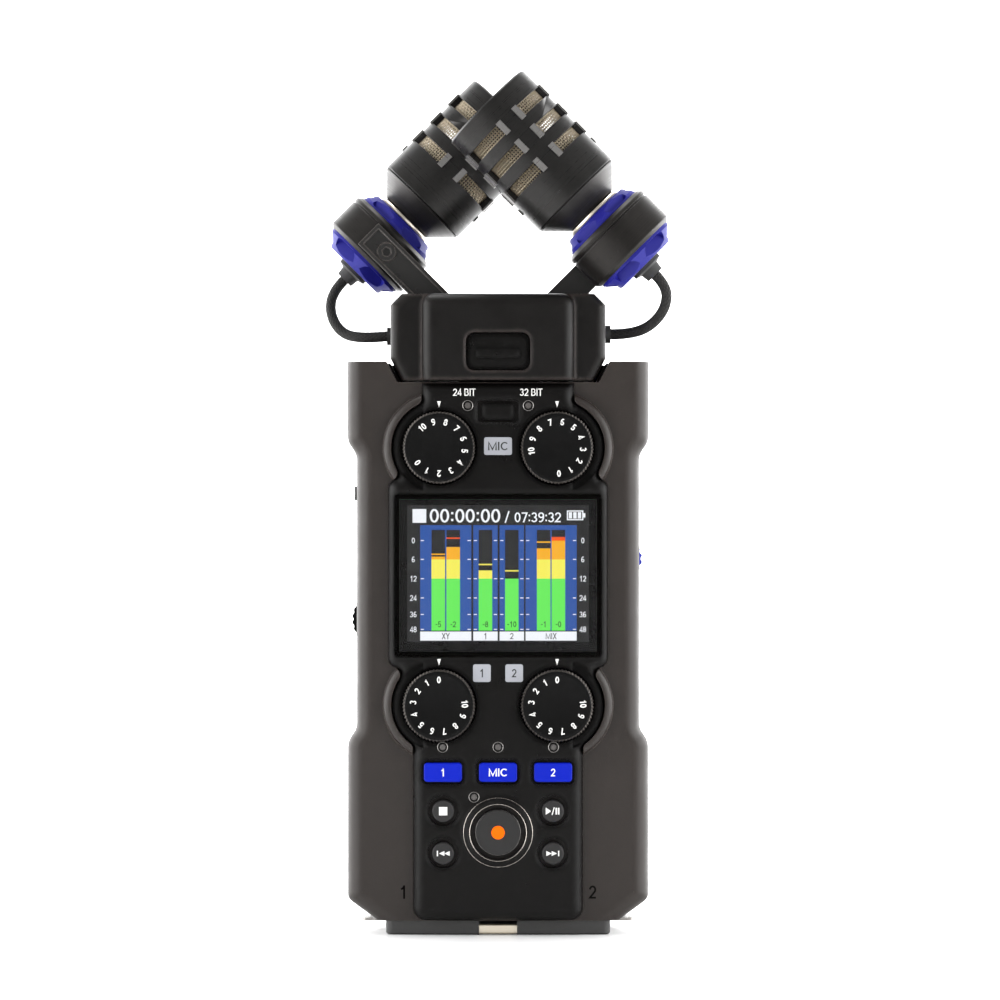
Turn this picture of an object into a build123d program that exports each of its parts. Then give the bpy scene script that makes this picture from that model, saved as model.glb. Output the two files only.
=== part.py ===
"""Portable field recorder with a removable X/Y microphone module.

Axes: +X to the right of the display, -Y out of the front face, +Z up the long side.
The origin is the centre of the foot, on the face that the recorder stands on.
"""

import math
import os

from build123d import *

os.makedirs("parts", exist_ok=True)

# ---- Driving dimensions, millimetres ----

# Casing, seen from the front
SHOULDER_HALF = 38.5
WAIST_HALF = 36.1
HIP_HALF = 38.4
CASE_BOTTOM = 3.6
CASE_TOP = 146.1
DOCK_FLOOR = 140.8
DOCK_HALF_FLOOR = 25.7
DOCK_HALF_TOP = 28.5
DOCK_STEP = 0.6
CORNER_FOOT = (31.0, CASE_BOTTOM)
CORNER_HIP = (38.4, 9.0)
HIP_TO_WAIST = (49.2, 52.5)
WAIST_TO_SHOULDER = (122.4, 125.7)

# Casing, seen from the side
CASE_FRONT = -18.0
CASE_REAR = 20.0
WALL = 1.8
CASE_EDGE = 4.0
FACE_RAISE = 3.2
FACE = CASE_FRONT - FACE_RAISE
FACE_EDGE = 2.8
GAP = 0.1

# Faceplate
SPINE_HALF = 19.4
PANEL_HALF = 21.6
BEZEL_HALF = 28.0
BEZEL_Z = (68.1, 116.1)
KNOB_X = 15.0
KNOB_Z = (58.6, 124.1)
KNOB_R = 9.3
KNOB_TOP_R = 8.7
KNOB_FRONT = FACE - 2.9
RECESS_R = 12.1
RECESS_STEP_R = KNOB_R + 0.35
CRESCENT_X = 19.0
JOIN_R = 2.0
GUARD_R = 14.3
SHAFT_R = 2.9
RUNNING = 0.05

# Display
GLASS = (52.7, 41.5)
GLASS_Z = 91.6
GLASS_THICK = 1.0
LCD = (50.0, 38.6)
LCD_THICK = 4.8

# Keys
KEY_REAR = CASE_FRONT - 0.9
KEY_FRONT = FACE - 0.5
KEY_STEM_R = 1.0
KEY_STEM_END = -14.2
SWITCH_FRONT = KEY_STEM_END + 0.7
TRACK_KEY = (9.65, 4.85)
TRACK_KEYS = {"track_1_key": -14.0, "mic_key": 0.0, "track_2_key": 14.0}
TRACK_Z = 41.6
KEY_MARGIN = 0.6
TRANSPORT_R = 2.8
TRANSPORT_HOLE_R = 3.8
TRANSPORT_KEYS = {
    "stop_key": (-13.95, 31.75),
    "play_key": (13.95, 31.75),
    "rewind_key": (-13.95, 21.0),
    "forward_key": (13.95, 21.0),
}
RECORD_Z = 26.3
RECORD_R = 5.8
RECORD_RING = (7.2, 8.75)
RECORD_LAMP_R = 1.7
MODE_KEY = (8.4, 4.4)
MODE_Z = 133.3
LAMP_R = 0.75
LAMPS = [(-7.7, 134.8), (7.7, 134.8), (-14.1, 48.0), (0.0, 48.0), (14.1, 48.0), (-6.1, 35.3)]

# Main board and what stands on it
BOARD_FRONT = -12.6
BOARD_THICK = 1.4
BOARD_HALF = 33.0
BOARD_Z = (9.0, 137.0)

# Battery bay at the back
CELL_R = 7.2
CELL_LENGTH = 50.0
CELL_PITCH = 15.0
CELL_Y = 9.4
CELL_NUB = (2.6, 1.5)
BAY_HALF = 31.4
BAY_Z = (58.4, 116.0)
BAY_WALL = 1.2
BAY_FRONT = 0.8
DOOR_THICK = 1.8
DOOR_HALF = 30.6
DOOR_HINGE = (18.3, 118.4)
DOOR_GAP = 0.3
HINGE_R = 1.5
PIN_R = 0.9

# Side controls: both wheels turn about Y
WHEEL_Y = (-9.0, -3.4)
WHEEL_SLOT_GAP = 0.5
WHEEL_SHAFT_R = 1.5
NOTCH_R = 0.45
SELECTOR = (31.0, 95.7, 6.0)
VOLUME = (-29.0, 80.2, 8.4)
SWITCH_Z = 112.5
SWITCH_Y = -6.2
SWITCH_HALF = (1.0, 1.8)
SWITCH_TRAVEL = 2.0

# Side sockets
JACK_Z = (56.5, 66.0)
JACK_Y = -5.4
JACK_BORE_R = 1.8
JACK_COLLAR_R = 2.9
CARD_Z = (60.2, 83.5)
CARD_Y = (-9.4, -2.4)
CARD_HINGE = (35.2, -2.2)
CARD_PIN_R = 0.5
USB_Z = 36.0
USB_Y = -5.0
USB_SHELL = (9.6, 3.8)
USB_MOUTH = (8.94, 3.16)
USB_TONGUE = (0.7, 6.7)
USB_START = 29.5
USB_FLOOR = 31.0

# Foot
FOOT_HALF = (28.6, 17.4)
FOOT_BULGE = 0.9
FOOT_TOP = 6.4
COMBO_X = 13.0
COMBO_R = 10.9
COMBO_TOP = 38.0
XLR_R = 9.6
XLR_CORE_R = 7.5
XLR_DEPTH = 14.0
XLR_PIN_CIRCLE_R = 5.3
XLR_PIN_R = 1.25
TRS_R = 3.2
TRS_DEPTH = 33.0
TAB_PIVOT = (27.1, 2.75)
TAB_TIP = 35.2
TAB_HALF = 3.8
TAB_THICK = 0.8
TAB_KNUCKLE_R = 0.8
TAB_PIN_R = 0.45
STRAP_HALF = 4.85
BUSH_Z = 48.0
BUSH_R = 5.0
BUSH_BORE_R = 2.6
BUSH_DEPTH = 7.0
SPEAKER_Z = 27.0
SPEAKER_R = 9.0
SOUND_SLOT_PITCH = 2.2
BOSS_R = 3.0
SCREW_HEAD_R = 2.4
SCREW_R = 1.25
SCREW_TIP_R = 0.95
SCREW_PLACES = [(-30.4, 12.8), (30.4, 12.8), (-30.4, 131.0), (30.4, 131.0)]

# Microphone module
MODULE_HALF = 27.45
MODULE_HALF_FLOOR = 24.6
MODULE_Z = (141.3, 163.4)
MODULE_KNEE = 146.9
MODULE_CHAMFER = 2.8
MODULE_REAR = 19.0
LATCH = (16.4, 9.7)
PLUG_HALF = (10.0, 3.8)
PLUG_DEPTH = 10.0
DOCK_SLOT_HALF = (10.5, 4.3)
LATCH_Z = 148.6
LATCH_DEPTH = 3.6
LATCH_BAR = (11.3, 2.2)
LATCH_BAR_PROUD = 0.5
BUTTON_REAR = FACE + 1.7
BUTTON_THICK = 0.7
BUTTON_STEM_R = 2.0

# Microphones: two alike, half a turn apart about Z, each crossing the middle at 45 degrees
MIC_X = 2.9
MIC_Y = 13.9
MIC_Z = 211.5
BARREL_R = 13.0
BARREL_BORE = 11.7
BARREL_END = 32.3
CONE_END = 37.8
NECK_R = 7.6
WINDOWS = (7.6, 14.2, 20.8)
WINDOW_WIDTH = 3.2
WINDOW_ARC = 58.0
WINDOW_COUNT = 4
WINDOW_TWIST = {1: 5.0, -1: 0.0}
BLOCK_INSET = 4.0
BLOCK = (1.6, 3.9)
BLOCK_PROUD = 0.55
MESH_R = 11.6
MESH_THICK = 0.5
COLLAR = (42.5, 53.4)
COLLAR_R = 12.75
COLLAR_BORE = 8.6
MOUNT_START = 39.3
MOUNT_END = 57.4
FRONT_POCKET = (2.6, 7.6)
REAR_POCKET = (3.4, 7.6)
STUB_R = 5.0
GLAND_END = 61.0
LEAD_R = 1.375
ARM_S = 48.3
ARM_WIDTH = 7.5
ARM_PAST = 3.2
ARM_BACK = -16.8
ARM_FRONT = -11.0
ARM_SCREW_U = -3.5
ARM_LENGTH = 40.0
ARM_RIM = (1.0, 0.9)
ARM_FOOT = (17.7, 0.9)
ARM_FOOT_HALF = (3.8, 2.0)
ARM_FOOT_DEPTH = 5.0
MIC_SCREW_HEAD_R = 2.4
MIC_SCREW_R = 1.0
MIC_SCREW_HEX_R = 1.25
MIC_SCREW_END = -9.4

# Where each lead enters the side of the module: its distance from the middle plane, and its height
LEAD_ENTRY = (7.5, 153.4)
ENTRY_GLAND_R = 1.9
ENTRY_FLANGE_R = 2.3
ENTRY_END = 28.9


# ---- Helpers ----

def front(y):
    """A sketch plane parallel to the front face: local x is X, local y is Z, its normal points forward."""
    return Plane.XZ.offset(-y)


def save(piece, name):
    """Label a finished sub-part and write its STEP file."""
    piece.part.label = name
    export_step(piece.part, f"parts/{name}.step")


def disc(places, radius, y_rear, y_front):
    """Cylinders along Y, in the part being built, from y_rear forward to y_front."""
    for x, z in places:
        centre = (x, (y_rear + y_front) / 2, z)
        with Locations(Location(centre, (90, 0, 0))):
            Cylinder(radius, y_rear - y_front)


def block(x, y, z, mode=Mode.ADD):
    """A box given by its two limits on each axis."""
    spans = (x, y, z)
    with Locations(tuple(sum(span) / 2 for span in spans)):
        Box(*[abs(span[1] - span[0]) for span in spans], mode=mode)


def cut_disc(places, radius, y_rear, y_front):
    """The same cylinders, taken away."""
    for x, z in places:
        centre = (x, (y_rear + y_front) / 2, z)
        with Locations(Location(centre, (90, 0, 0))):
            Cylinder(radius, y_rear - y_front, mode=Mode.SUBTRACT)


def cut_box(x, y, z):
    block(x, y, z, mode=Mode.SUBTRACT)


def rod(start, end, radius, mode=Mode.ADD):
    """A round rod from one point to another, in the part being built."""
    path = Vector(*end) - Vector(*start)
    with Locations(Plane(origin=start, z_dir=path).location):
        Cylinder(radius, path.length, align=(Align.CENTER, Align.CENTER, Align.MIN), mode=mode)


def around(centre, half_size):
    """Low and high limits of a span centred on a value."""
    return (centre - half_size, centre + half_size)


KNOBS = [(side * KNOB_X, z) for z in KNOB_Z for side in (-1, 1)]


def case_outline(y, inset=0.0, step=0.0):
    """The casing seen from the front, with its waist, its cut foot corners and the notch of the dock,
    which the rear half narrows by a step."""
    low, high = HIP_TO_WAIST
    waist_top, shoulder = WAIST_TO_SHOULDER
    with BuildSketch(front(y)) as outline:
        with BuildLine():
            Polyline(
                (0, CASE_BOTTOM),
                CORNER_FOOT,
                CORNER_HIP,
                (HIP_HALF, low),
                (WAIST_HALF, high),
                (WAIST_HALF, waist_top),
                (SHOULDER_HALF, shoulder),
                (SHOULDER_HALF, CASE_TOP),
                (DOCK_HALF_TOP - step, CASE_TOP),
                (DOCK_HALF_FLOOR - step, DOCK_FLOOR),
                (0, DOCK_FLOOR),
            )
            mirror(about=Plane.YZ)
        make_face()
        bends = [v for v in outline.vertices() if low - 1 < v.Y < shoulder + 1]
        fillet(bends, 5.0)
        corners = [v for v in outline.vertices() if abs(abs(v.X) - HIP_HALF) < 0.2 and v.Y < 12]
        fillet(corners, 2.5)
        if inset:
            offset(amount=-inset, kind=Kind.INTERSECTION)
    return outline.sketch


def face_outline(y, margin=0.0):
    """The raised faceplate: spine, knob rounds, display bezel and lower panel in one outline."""
    with BuildSketch(front(y)) as outline:
        spine_z = (BEZEL_Z[1] - 2, DOCK_FLOOR - 0.3)
        with Locations((0, sum(spine_z) / 2)):
            Rectangle(2 * SPINE_HALF, spine_z[1] - spine_z[0])
        with Locations((0, sum(BEZEL_Z) / 2)):
            RectangleRounded(2 * BEZEL_HALF, BEZEL_Z[1] - BEZEL_Z[0], 2.4)
        panel_z = (CASE_BOTTOM + 0.2, BEZEL_Z[0] + 2)
        with Locations((0, sum(panel_z) / 2)):
            RectangleRounded(2 * PANEL_HALF, panel_z[1] - panel_z[0], 3.2)
        with Locations(*KNOBS):
            Circle(RECESS_R)
        offset(amount=JOIN_R)
        offset(amount=-JOIN_R)
        if margin:
            offset(amount=margin)
    return outline.sketch


def round_front_edges(builder, y, radius):
    """Round the outer loop of edges of the foremost face."""
    face = builder.faces().filter_by(Axis.Y).sort_by(Axis.Y)[0]
    fillet(face.outer_wire().edges(), radius)


# ---- Casing ----

SIDE_EDGE_LIMIT = CASE_TOP - 0.8


def rounded_sides(builder, y):
    """Round the long side edges and the cut foot corners of one casing half."""
    rim = builder.edges().filter_by_position(Axis.Y, y, y)
    sides = [e for e in rim if abs(e.center().X) > CORNER_FOOT[0] and e.center().Z < SIDE_EDGE_LIMIT]
    fillet(sides, CASE_EDGE)


def screw_boss(y_from, y_to):
    """The four screw posts of one casing half, between two depths."""
    disc(SCREW_PLACES, BOSS_R, y_from, y_to)


with BuildPart() as front_casing:
    extrude(case_outline(0), amount=-CASE_FRONT)
    rounded_sides(front_casing, CASE_FRONT)
    disc(KNOBS, GUARD_R, CASE_FRONT + 0.5, FACE + 0.4)
    fillet(front_casing.edges().filter_by(GeomType.CIRCLE).group_by(Axis.Y)[0], 1.9)
    extrude(face_outline(CASE_FRONT, GAP), amount=FACE_RAISE + 1, mode=Mode.SUBTRACT)
    extrude(case_outline(0, WALL), amount=-CASE_FRONT - WALL, mode=Mode.SUBTRACT)
    screw_boss(0, CASE_FRONT + 0.5)
    cut_disc(SCREW_PLACES, SCREW_TIP_R + RUNNING, 1, -9.0)
    # display window, knob shafts, key stems and light pipes
    cut_box(around(0, LCD[0] / 2 + 0.3), (CASE_FRONT - 1, 0), around(GLASS_Z, LCD[1] / 2 + 0.3))
    cut_disc(KNOBS, SHAFT_R + 0.4, 0, CASE_FRONT - 1)
    cut_disc([(x, TRACK_Z) for x in TRACK_KEYS.values()], KEY_STEM_R + 0.4, -10, CASE_FRONT - 1)
    cut_disc(TRANSPORT_KEYS.values(), KEY_STEM_R + 0.4, -10, CASE_FRONT - 1)
    cut_disc([(0, RECORD_Z), (0, MODE_Z)], KEY_STEM_R + 0.4, -10, CASE_FRONT - 1)
    cut_disc(LAMPS, LAMP_R + GAP, -10, CASE_FRONT - 1)
    # foot opening, dock opening and the recesses over the two release tabs
    cut_box(around(0, FOOT_HALF[0] - 1.6), (-FOOT_HALF[1] + 1.8, 1), (CASE_BOTTOM - 1, CASE_BOTTOM + 4))
    cut_box(around(0, DOCK_SLOT_HALF[0]), (-DOCK_SLOT_HALF[1], 1), (DOCK_FLOOR - 4, DOCK_FLOOR + 1))
    for side in (-1, 1):
        cut_box(around(side * 29.8, 4.2), (-TAB_HALF - 0.6, 1), (CASE_BOTTOM - 1, CASE_BOTTOM + 1.2))
    # side openings: two wheels, two round sockets, the slide switch, the card slot and the data port
    for x, z, radius in (SELECTOR, VOLUME):
        with BuildSketch(front(WHEEL_Y[1] + WHEEL_SLOT_GAP)):
            with Locations((x, z)):
                Circle(radius + WHEEL_SLOT_GAP)
        extrude(amount=WHEEL_Y[1] - WHEEL_Y[0] + 2 * WHEEL_SLOT_GAP, mode=Mode.SUBTRACT)
    for z in JACK_Z:
        rod((-WAIST_HALF - 4, JACK_Y, z), (-30, JACK_Y, z), JACK_COLLAR_R + GAP, mode=Mode.SUBTRACT)
    slot_half = SWITCH_HALF[1] + SWITCH_TRAVEL
    cut_box((-WAIST_HALF - 1, -33), around(SWITCH_Y, SWITCH_HALF[0] + 0.3), around(SWITCH_Z, slot_half))
    cut_box((33, 37), (CARD_Y[0] - DOOR_GAP, CARD_Y[1] + 1.3), (CARD_Z[0] - DOOR_GAP, CARD_Z[1] + DOOR_GAP))
    with BuildSketch(Plane.YZ.offset(USB_START)):
        with Locations((USB_Y, USB_Z)):
            SlotOverall(USB_SHELL[0] + 0.6, USB_SHELL[1] + 0.6, rotation=90)
    extrude(amount=10, mode=Mode.SUBTRACT)
    # hinge eyes of the card door
    for z in (CARD_Z[0] - 1.1, CARD_Z[1] + 1.1):
        block((33.0, 35.6), (CARD_HINGE[1] - 1.3, CARD_HINGE[1] + 1.3), around(z, 0.8))
    pin_z = (CARD_Z[0] - 1.5, CARD_Z[1] + 1.5)
    rod((*CARD_HINGE, pin_z[0]), (*CARD_HINGE, pin_z[1]), CARD_PIN_R + RUNNING, mode=Mode.SUBTRACT)

with BuildPart() as rear_casing:
    extrude(case_outline(0, step=DOCK_STEP), amount=-CASE_REAR)
    rounded_sides(rear_casing, CASE_REAR)
    extrude(case_outline(0, WALL, DOCK_STEP), amount=-CASE_REAR + WALL, mode=Mode.SUBTRACT)
    screw_boss(CASE_REAR - 1.0, 0)
    cut_disc(SCREW_PLACES, SCREW_R + GAP, CASE_REAR + 1, -1)
    cut_disc(SCREW_PLACES, SCREW_HEAD_R + 2 * GAP, CASE_REAR + 1, CASE_REAR - 2.4)
    # battery opening with its hinge eyes
    door_z = (BAY_Z[0] + 1.4, DOOR_HINGE[1] + 2.3)
    cut_box(around(0, DOOR_HALF + DOOR_GAP), (CASE_REAR - 3, CASE_REAR + 1), door_z)
    for side in (-1, 1):
        hinge_x = around(side * (DOOR_HALF + DOOR_GAP + 1.1), 1.1)
        block(hinge_x, (DOOR_HINGE[0] - 1.9, CASE_REAR - 0.6), around(DOOR_HINGE[1], 2.2))
    hinge_end = DOOR_HALF + DOOR_GAP + 1.6
    rod((-hinge_end, *DOOR_HINGE), (hinge_end, *DOOR_HINGE), PIN_R + RUNNING, mode=Mode.SUBTRACT)
    # foot, dock and tab openings
    cut_box(around(0, FOOT_HALF[0] - 1.6), (-1, FOOT_HALF[1] - 1.8), (CASE_BOTTOM - 1, CASE_BOTTOM + 4))
    cut_box(around(0, DOCK_SLOT_HALF[0]), (-1, DOCK_SLOT_HALF[1]), (DOCK_FLOOR - 4, DOCK_FLOOR + 1))
    for side in (-1, 1):
        cut_box(around(side * 29.8, 4.2), (-1, TAB_HALF + 0.6), (CASE_BOTTOM - 1, CASE_BOTTOM + 1.2))
    # tripod bush and sound slots
    cut_disc([(0, BUSH_Z)], BUSH_R + GAP, CASE_REAR + 1, CASE_REAR - 4)
    for row in range(-3, 4):
        rise = row * SOUND_SLOT_PITCH
        half = math.sqrt((SPEAKER_R - 1.5) ** 2 - rise**2)
        cut_box(around(0, half), (CASE_REAR - 4, CASE_REAR + 1), around(SPEAKER_Z + rise, 0.6))

save(front_casing, "front_casing")
save(rear_casing, "rear_casing")

# ---- Faceplate, glass and display ----

with BuildPart() as faceplate:
    extrude(face_outline(CASE_FRONT), amount=FACE_RAISE)
    round_front_edges(faceplate, FACE, FACE_EDGE)
    disc([(0, RECORD_Z)], RECORD_RING[1], FACE + 1, FACE - 1.0)
    fillet(faceplate.edges().filter_by(GeomType.CIRCLE).group_by(Axis.Y)[0], 0.7)
    for x, z in KNOBS:
        with BuildSketch(front(FACE + 1.2)) as crescent:
            with Locations((x, z)):
                Circle(RECESS_R - 0.5)
            Rectangle(2 * CRESCENT_X, 3 * CASE_TOP, mode=Mode.SUBTRACT)
        extrude(amount=3, mode=Mode.SUBTRACT)
    cut_disc(KNOBS, RECESS_STEP_R, FACE + 2.6, FACE - 1)
    cut_disc(KNOBS, SHAFT_R + 0.4, CASE_FRONT + 1, FACE - 1)
    with BuildSketch(front(FACE - 1)):
        with Locations((0, GLASS_Z)):
            RectangleRounded(GLASS[0] + 0.2, GLASS[1] + 0.2, 1.3)
    extrude(amount=-GLASS_THICK - 1, mode=Mode.SUBTRACT)
    cut_box(around(0, LCD[0] / 2 + GAP), (FACE - 1, CASE_FRONT + 1), around(GLASS_Z, LCD[1] / 2 + GAP))
    with BuildSketch(front(CASE_FRONT + 1)):
        with Locations(*[(x, TRACK_Z) for x in TRACK_KEYS.values()]):
            RectangleRounded(TRACK_KEY[0] + 2 * KEY_MARGIN, TRACK_KEY[1] + 2 * KEY_MARGIN, 1.5)
        with Locations((0, MODE_Z)):
            RectangleRounded(MODE_KEY[0] + 2, MODE_KEY[1] + 1.1, 1.0)
    extrude(amount=FACE_RAISE + 2, mode=Mode.SUBTRACT)
    cut_disc(TRANSPORT_KEYS.values(), TRANSPORT_HOLE_R, CASE_FRONT + 1, FACE - 1)
    cut_disc([(0, RECORD_Z)], RECORD_RING[0], CASE_FRONT + 1, FACE - 1)
    cut_disc(LAMPS, LAMP_R + GAP, CASE_FRONT + 1, FACE - 1)
    cut_box(around(0, STRAP_HALF + 1), (CASE_FRONT + 1, FACE - 1), (CASE_BOTTOM - 1, CASE_BOTTOM + 0.4))

with BuildPart() as display_glass:
    with BuildSketch(front(FACE + GLASS_THICK)):
        with Locations((0, GLASS_Z)):
            RectangleRounded(*GLASS, 1.2)
    extrude(amount=GLASS_THICK)

with BuildPart() as lcd_module:
    lcd_front = FACE + GLASS_THICK + 0.05
    block(around(0, LCD[0] / 2), (lcd_front, lcd_front + LCD_THICK), around(GLASS_Z, LCD[1] / 2))
    block(around(0, 8), (lcd_front + LCD_THICK, BOARD_FRONT), around(GLASS_Z - 12, 3))

with BuildPart() as light_pipes:
    disc(LAMPS, LAMP_R, CASE_FRONT + WALL + 1, FACE - 0.1)

for piece, name in (
    (faceplate, "faceplate"),
    (display_glass, "display_glass"),
    (lcd_module, "lcd_module"),
    (light_pipes, "light_pipes"),
):
    save(piece, name)

# ---- Knobs, keys and the controls under them ----


def knob(x, z):
    """A dial knob with a skirt, a lower rim and its own shaft, turning about Y."""
    with BuildPart() as piece:
        disc([(x, z)], KNOB_R, CASE_FRONT - 0.7, KNOB_FRONT + 0.9)
        disc([(x, z)], KNOB_TOP_R, KNOB_FRONT + 0.9, KNOB_FRONT)
        fillet(piece.edges().filter_by(GeomType.CIRCLE).group_by(Axis.Y)[0], 0.4)
        disc([(x, z)], SHAFT_R, BOARD_FRONT - 0.4, CASE_FRONT - 0.7)
    return piece


def oblong_key(x, z, size, front_y):
    """A rounded rectangular key cap on a round stem."""
    with BuildPart() as piece:
        with BuildSketch(front(KEY_REAR)):
            with Locations((x, z)):
                RectangleRounded(*size, 0.9)
        extrude(amount=KEY_REAR - front_y)
        fillet(piece.faces().sort_by(Axis.Y)[0].edges(), 0.35)
        disc([(x, z)], KEY_STEM_R, KEY_STEM_END, KEY_REAR)
    return piece


def round_key(x, z, radius, front_y):
    """A round key cap on a round stem."""
    with BuildPart() as piece:
        disc([(x, z)], radius, KEY_REAR, front_y)
        fillet(piece.faces().sort_by(Axis.Y)[0].edges(), 0.4)
        disc([(x, z)], KEY_STEM_R, KEY_STEM_END, KEY_REAR)
    return piece


for place, name in zip(KNOBS, ("input_knob_1", "input_knob_2", "mic_knob_left", "mic_knob_right")):
    save(knob(*place), name)
for name, x in TRACK_KEYS.items():
    save(oblong_key(x, TRACK_Z, TRACK_KEY, KEY_FRONT), name)
save(oblong_key(0, MODE_Z, MODE_KEY, FACE + 0.3), "mode_key")
for name, place in TRANSPORT_KEYS.items():
    save(round_key(*place, TRANSPORT_R, KEY_FRONT + 0.2), name)

with BuildPart() as record_key:
    add(round_key(0, RECORD_Z, RECORD_R, KEY_FRONT).part)
    cut_disc([(0, RECORD_Z)], RECORD_LAMP_R + RUNNING, KEY_FRONT + 0.8, KEY_FRONT - 1)

with BuildPart() as record_lamp:
    disc([(0, RECORD_Z)], RECORD_LAMP_R, KEY_FRONT + 0.8, KEY_FRONT - 0.05)

KEY_PLACES = [(x, TRACK_Z) for x in TRACK_KEYS.values()] + list(TRANSPORT_KEYS.values())
KEY_PLACES += [(0, RECORD_Z), (0, MODE_Z)]

with BuildPart() as tact_switches:
    for x, z in KEY_PLACES:
        block(around(x, 1.9), (SWITCH_FRONT + 0.3, BOARD_FRONT), around(z, 1.9))
    disc(KEY_PLACES, 0.8, SWITCH_FRONT + 0.3, SWITCH_FRONT)

with BuildPart() as rotary_controls:
    for x, z in KNOBS:
        block(around(x, 4.8), (CASE_FRONT + WALL + 0.2, BOARD_FRONT), around(z, 4.8))
    cut_disc(KNOBS, SHAFT_R + RUNNING, BOARD_FRONT - 0.3, CASE_FRONT)
    for x, z, radius in (SELECTOR, VOLUME):
        block(around(x * 0.95, 4), (WHEEL_Y[1] + 0.6, WHEEL_Y[1] + 3.0), around(z, 5))
        disc([(x, z)], WHEEL_SHAFT_R, WHEEL_Y[1] + 0.6, WHEEL_Y[0])

with BuildPart() as main_board:
    block(around(0, BOARD_HALF), (BOARD_FRONT, BOARD_FRONT + BOARD_THICK), BOARD_Z)
    cut_disc(SCREW_PLACES, BOSS_R + 0.4, BOARD_FRONT + 3, BOARD_FRONT - 1)
    for x, y, z in ((-18, 4.5, 108), (12, 4.5, 118), (-6, 2.5, 54), (20, 3.0, 50)):
        block(around(x, 5), (BOARD_FRONT + BOARD_THICK, BOARD_FRONT + BOARD_THICK + 1.2), around(z, y))

for piece, name in (
    (record_key, "record_key"),
    (record_lamp, "record_lamp"),
    (tact_switches, "tact_switches"),
    (rotary_controls, "rotary_controls"),
    (main_board, "main_board"),
):
    save(piece, name)


def thumb_wheel(x, z, radius, teeth, depth):
    """A thumbwheel on the Y axis with a notched rim and a bore for its encoder shaft."""
    width = WHEEL_Y[1] - WHEEL_Y[0]
    with BuildPart() as piece:
        with BuildSketch(front(WHEEL_Y[1])):
            with Locations((x, z)):
                Circle(radius)
                Circle(WHEEL_SHAFT_R + RUNNING, mode=Mode.SUBTRACT)
                with PolarLocations(radius + NOTCH_R, teeth):
                    Circle(NOTCH_R + depth, mode=Mode.SUBTRACT)
        extrude(amount=width)
    return piece


save(thumb_wheel(*SELECTOR, 20, 0.35), "selector_wheel")
save(thumb_wheel(*VOLUME, 30, 0.25), "volume_wheel")

with BuildPart() as power_switch:
    block((-WAIST_HALF - 0.8, -32.6), around(SWITCH_Y, SWITCH_HALF[0]), around(SWITCH_Z, SWITCH_HALF[1]))
    fillet(power_switch.edges().filter_by(Axis.Z).sort_by(Axis.X)[:2], 0.4)
    block((-33.9, -32.6), around(SWITCH_Y, 2.4), around(SWITCH_Z, 4.6))

save(power_switch, "power_switch")

# ---- Battery bay at the back ----

with BuildPart() as battery_tray:
    block(around(0, BAY_HALF), (BAY_FRONT, CASE_REAR - WALL - 0.1), BAY_Z)
    inner_z = (BAY_Z[0] + BAY_WALL, BAY_Z[1] - BAY_WALL)
    cut_box(around(0, BAY_HALF - BAY_WALL), (BAY_FRONT + BAY_WALL, CASE_REAR), inner_z)

CELL_X = [CELL_PITCH * (i - 1.5) for i in range(4)]
CELL_Z = (BAY_Z[0] + BAY_Z[1] - CELL_LENGTH) / 2

with BuildPart() as battery_cells:
    for i, x in enumerate(CELL_X):
        nub_r, nub_height = CELL_NUB
        low, high = CELL_Z, CELL_Z + CELL_LENGTH
        body_low, body_high = (low, high - nub_height) if i % 2 else (low + nub_height, high)
        rod((x, CELL_Y, body_low), (x, CELL_Y, body_high), CELL_R)
        rod((x, CELL_Y, low), (x, CELL_Y, high), nub_r)

with BuildPart() as battery_contacts:
    for x in CELL_X:
        block(around(x, 4.5), around(CELL_Y, 4), (BAY_Z[0] + BAY_WALL, CELL_Z))
        block(around(x, 4.5), around(CELL_Y, 4), (CELL_Z + CELL_LENGTH, BAY_Z[1] - BAY_WALL))

with BuildPart() as battery_door:
    door_bottom = BAY_Z[0] + 1.4 + DOOR_GAP
    door_top = DOOR_HINGE[1] - 0.4
    block(around(0, DOOR_HALF), (CASE_REAR - DOOR_THICK, CASE_REAR), (door_bottom, door_top))
    fillet(battery_door.edges().filter_by(Axis.X).sort_by(Axis.Z)[:2], 0.5)
    rod((-DOOR_HALF, *DOOR_HINGE), (DOOR_HALF, *DOOR_HINGE), HINGE_R)
    hinge_end = DOOR_HALF + DOOR_GAP + 1.4
    rod((-hinge_end, *DOOR_HINGE), (hinge_end, *DOOR_HINGE), PIN_R)
    with BuildSketch(Plane.XZ.offset(-CASE_REAR - 0.5)):
        with Locations((0, door_bottom + 7)):
            with GridLocations(0, 1.8, 1, 4):
                SlotOverall(16, 0.9)
    extrude(amount=0.8, mode=Mode.SUBTRACT)

# ---- Side sockets and the card door ----

with BuildPart() as card_door:
    block((34.5, WAIST_HALF), (CARD_Y[0], CARD_HINGE[1]), CARD_Z)
    rod((*CARD_HINGE, CARD_Z[0]), (*CARD_HINGE, CARD_Z[1]), 0.9)
    rod((*CARD_HINGE, CARD_Z[0] - 1.3), (*CARD_HINGE, CARD_Z[1] + 1.3), CARD_PIN_R)
    cut_box((WAIST_HALF - 0.7, WAIST_HALF + 1), (CARD_Y[0] - 1, CARD_Y[0] + 1.0), around(sum(CARD_Z) / 2, 4))

with BuildPart() as card_socket:
    block((6, 33.4), (-7.0, -4.0), (CARD_Z[0] - 0.6, CARD_Z[1] + 0.6))
    cut_box((8, 34), (-6.6, -4.4), (CARD_Z[0] - 0.1, CARD_Z[1] + 0.1))

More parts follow.
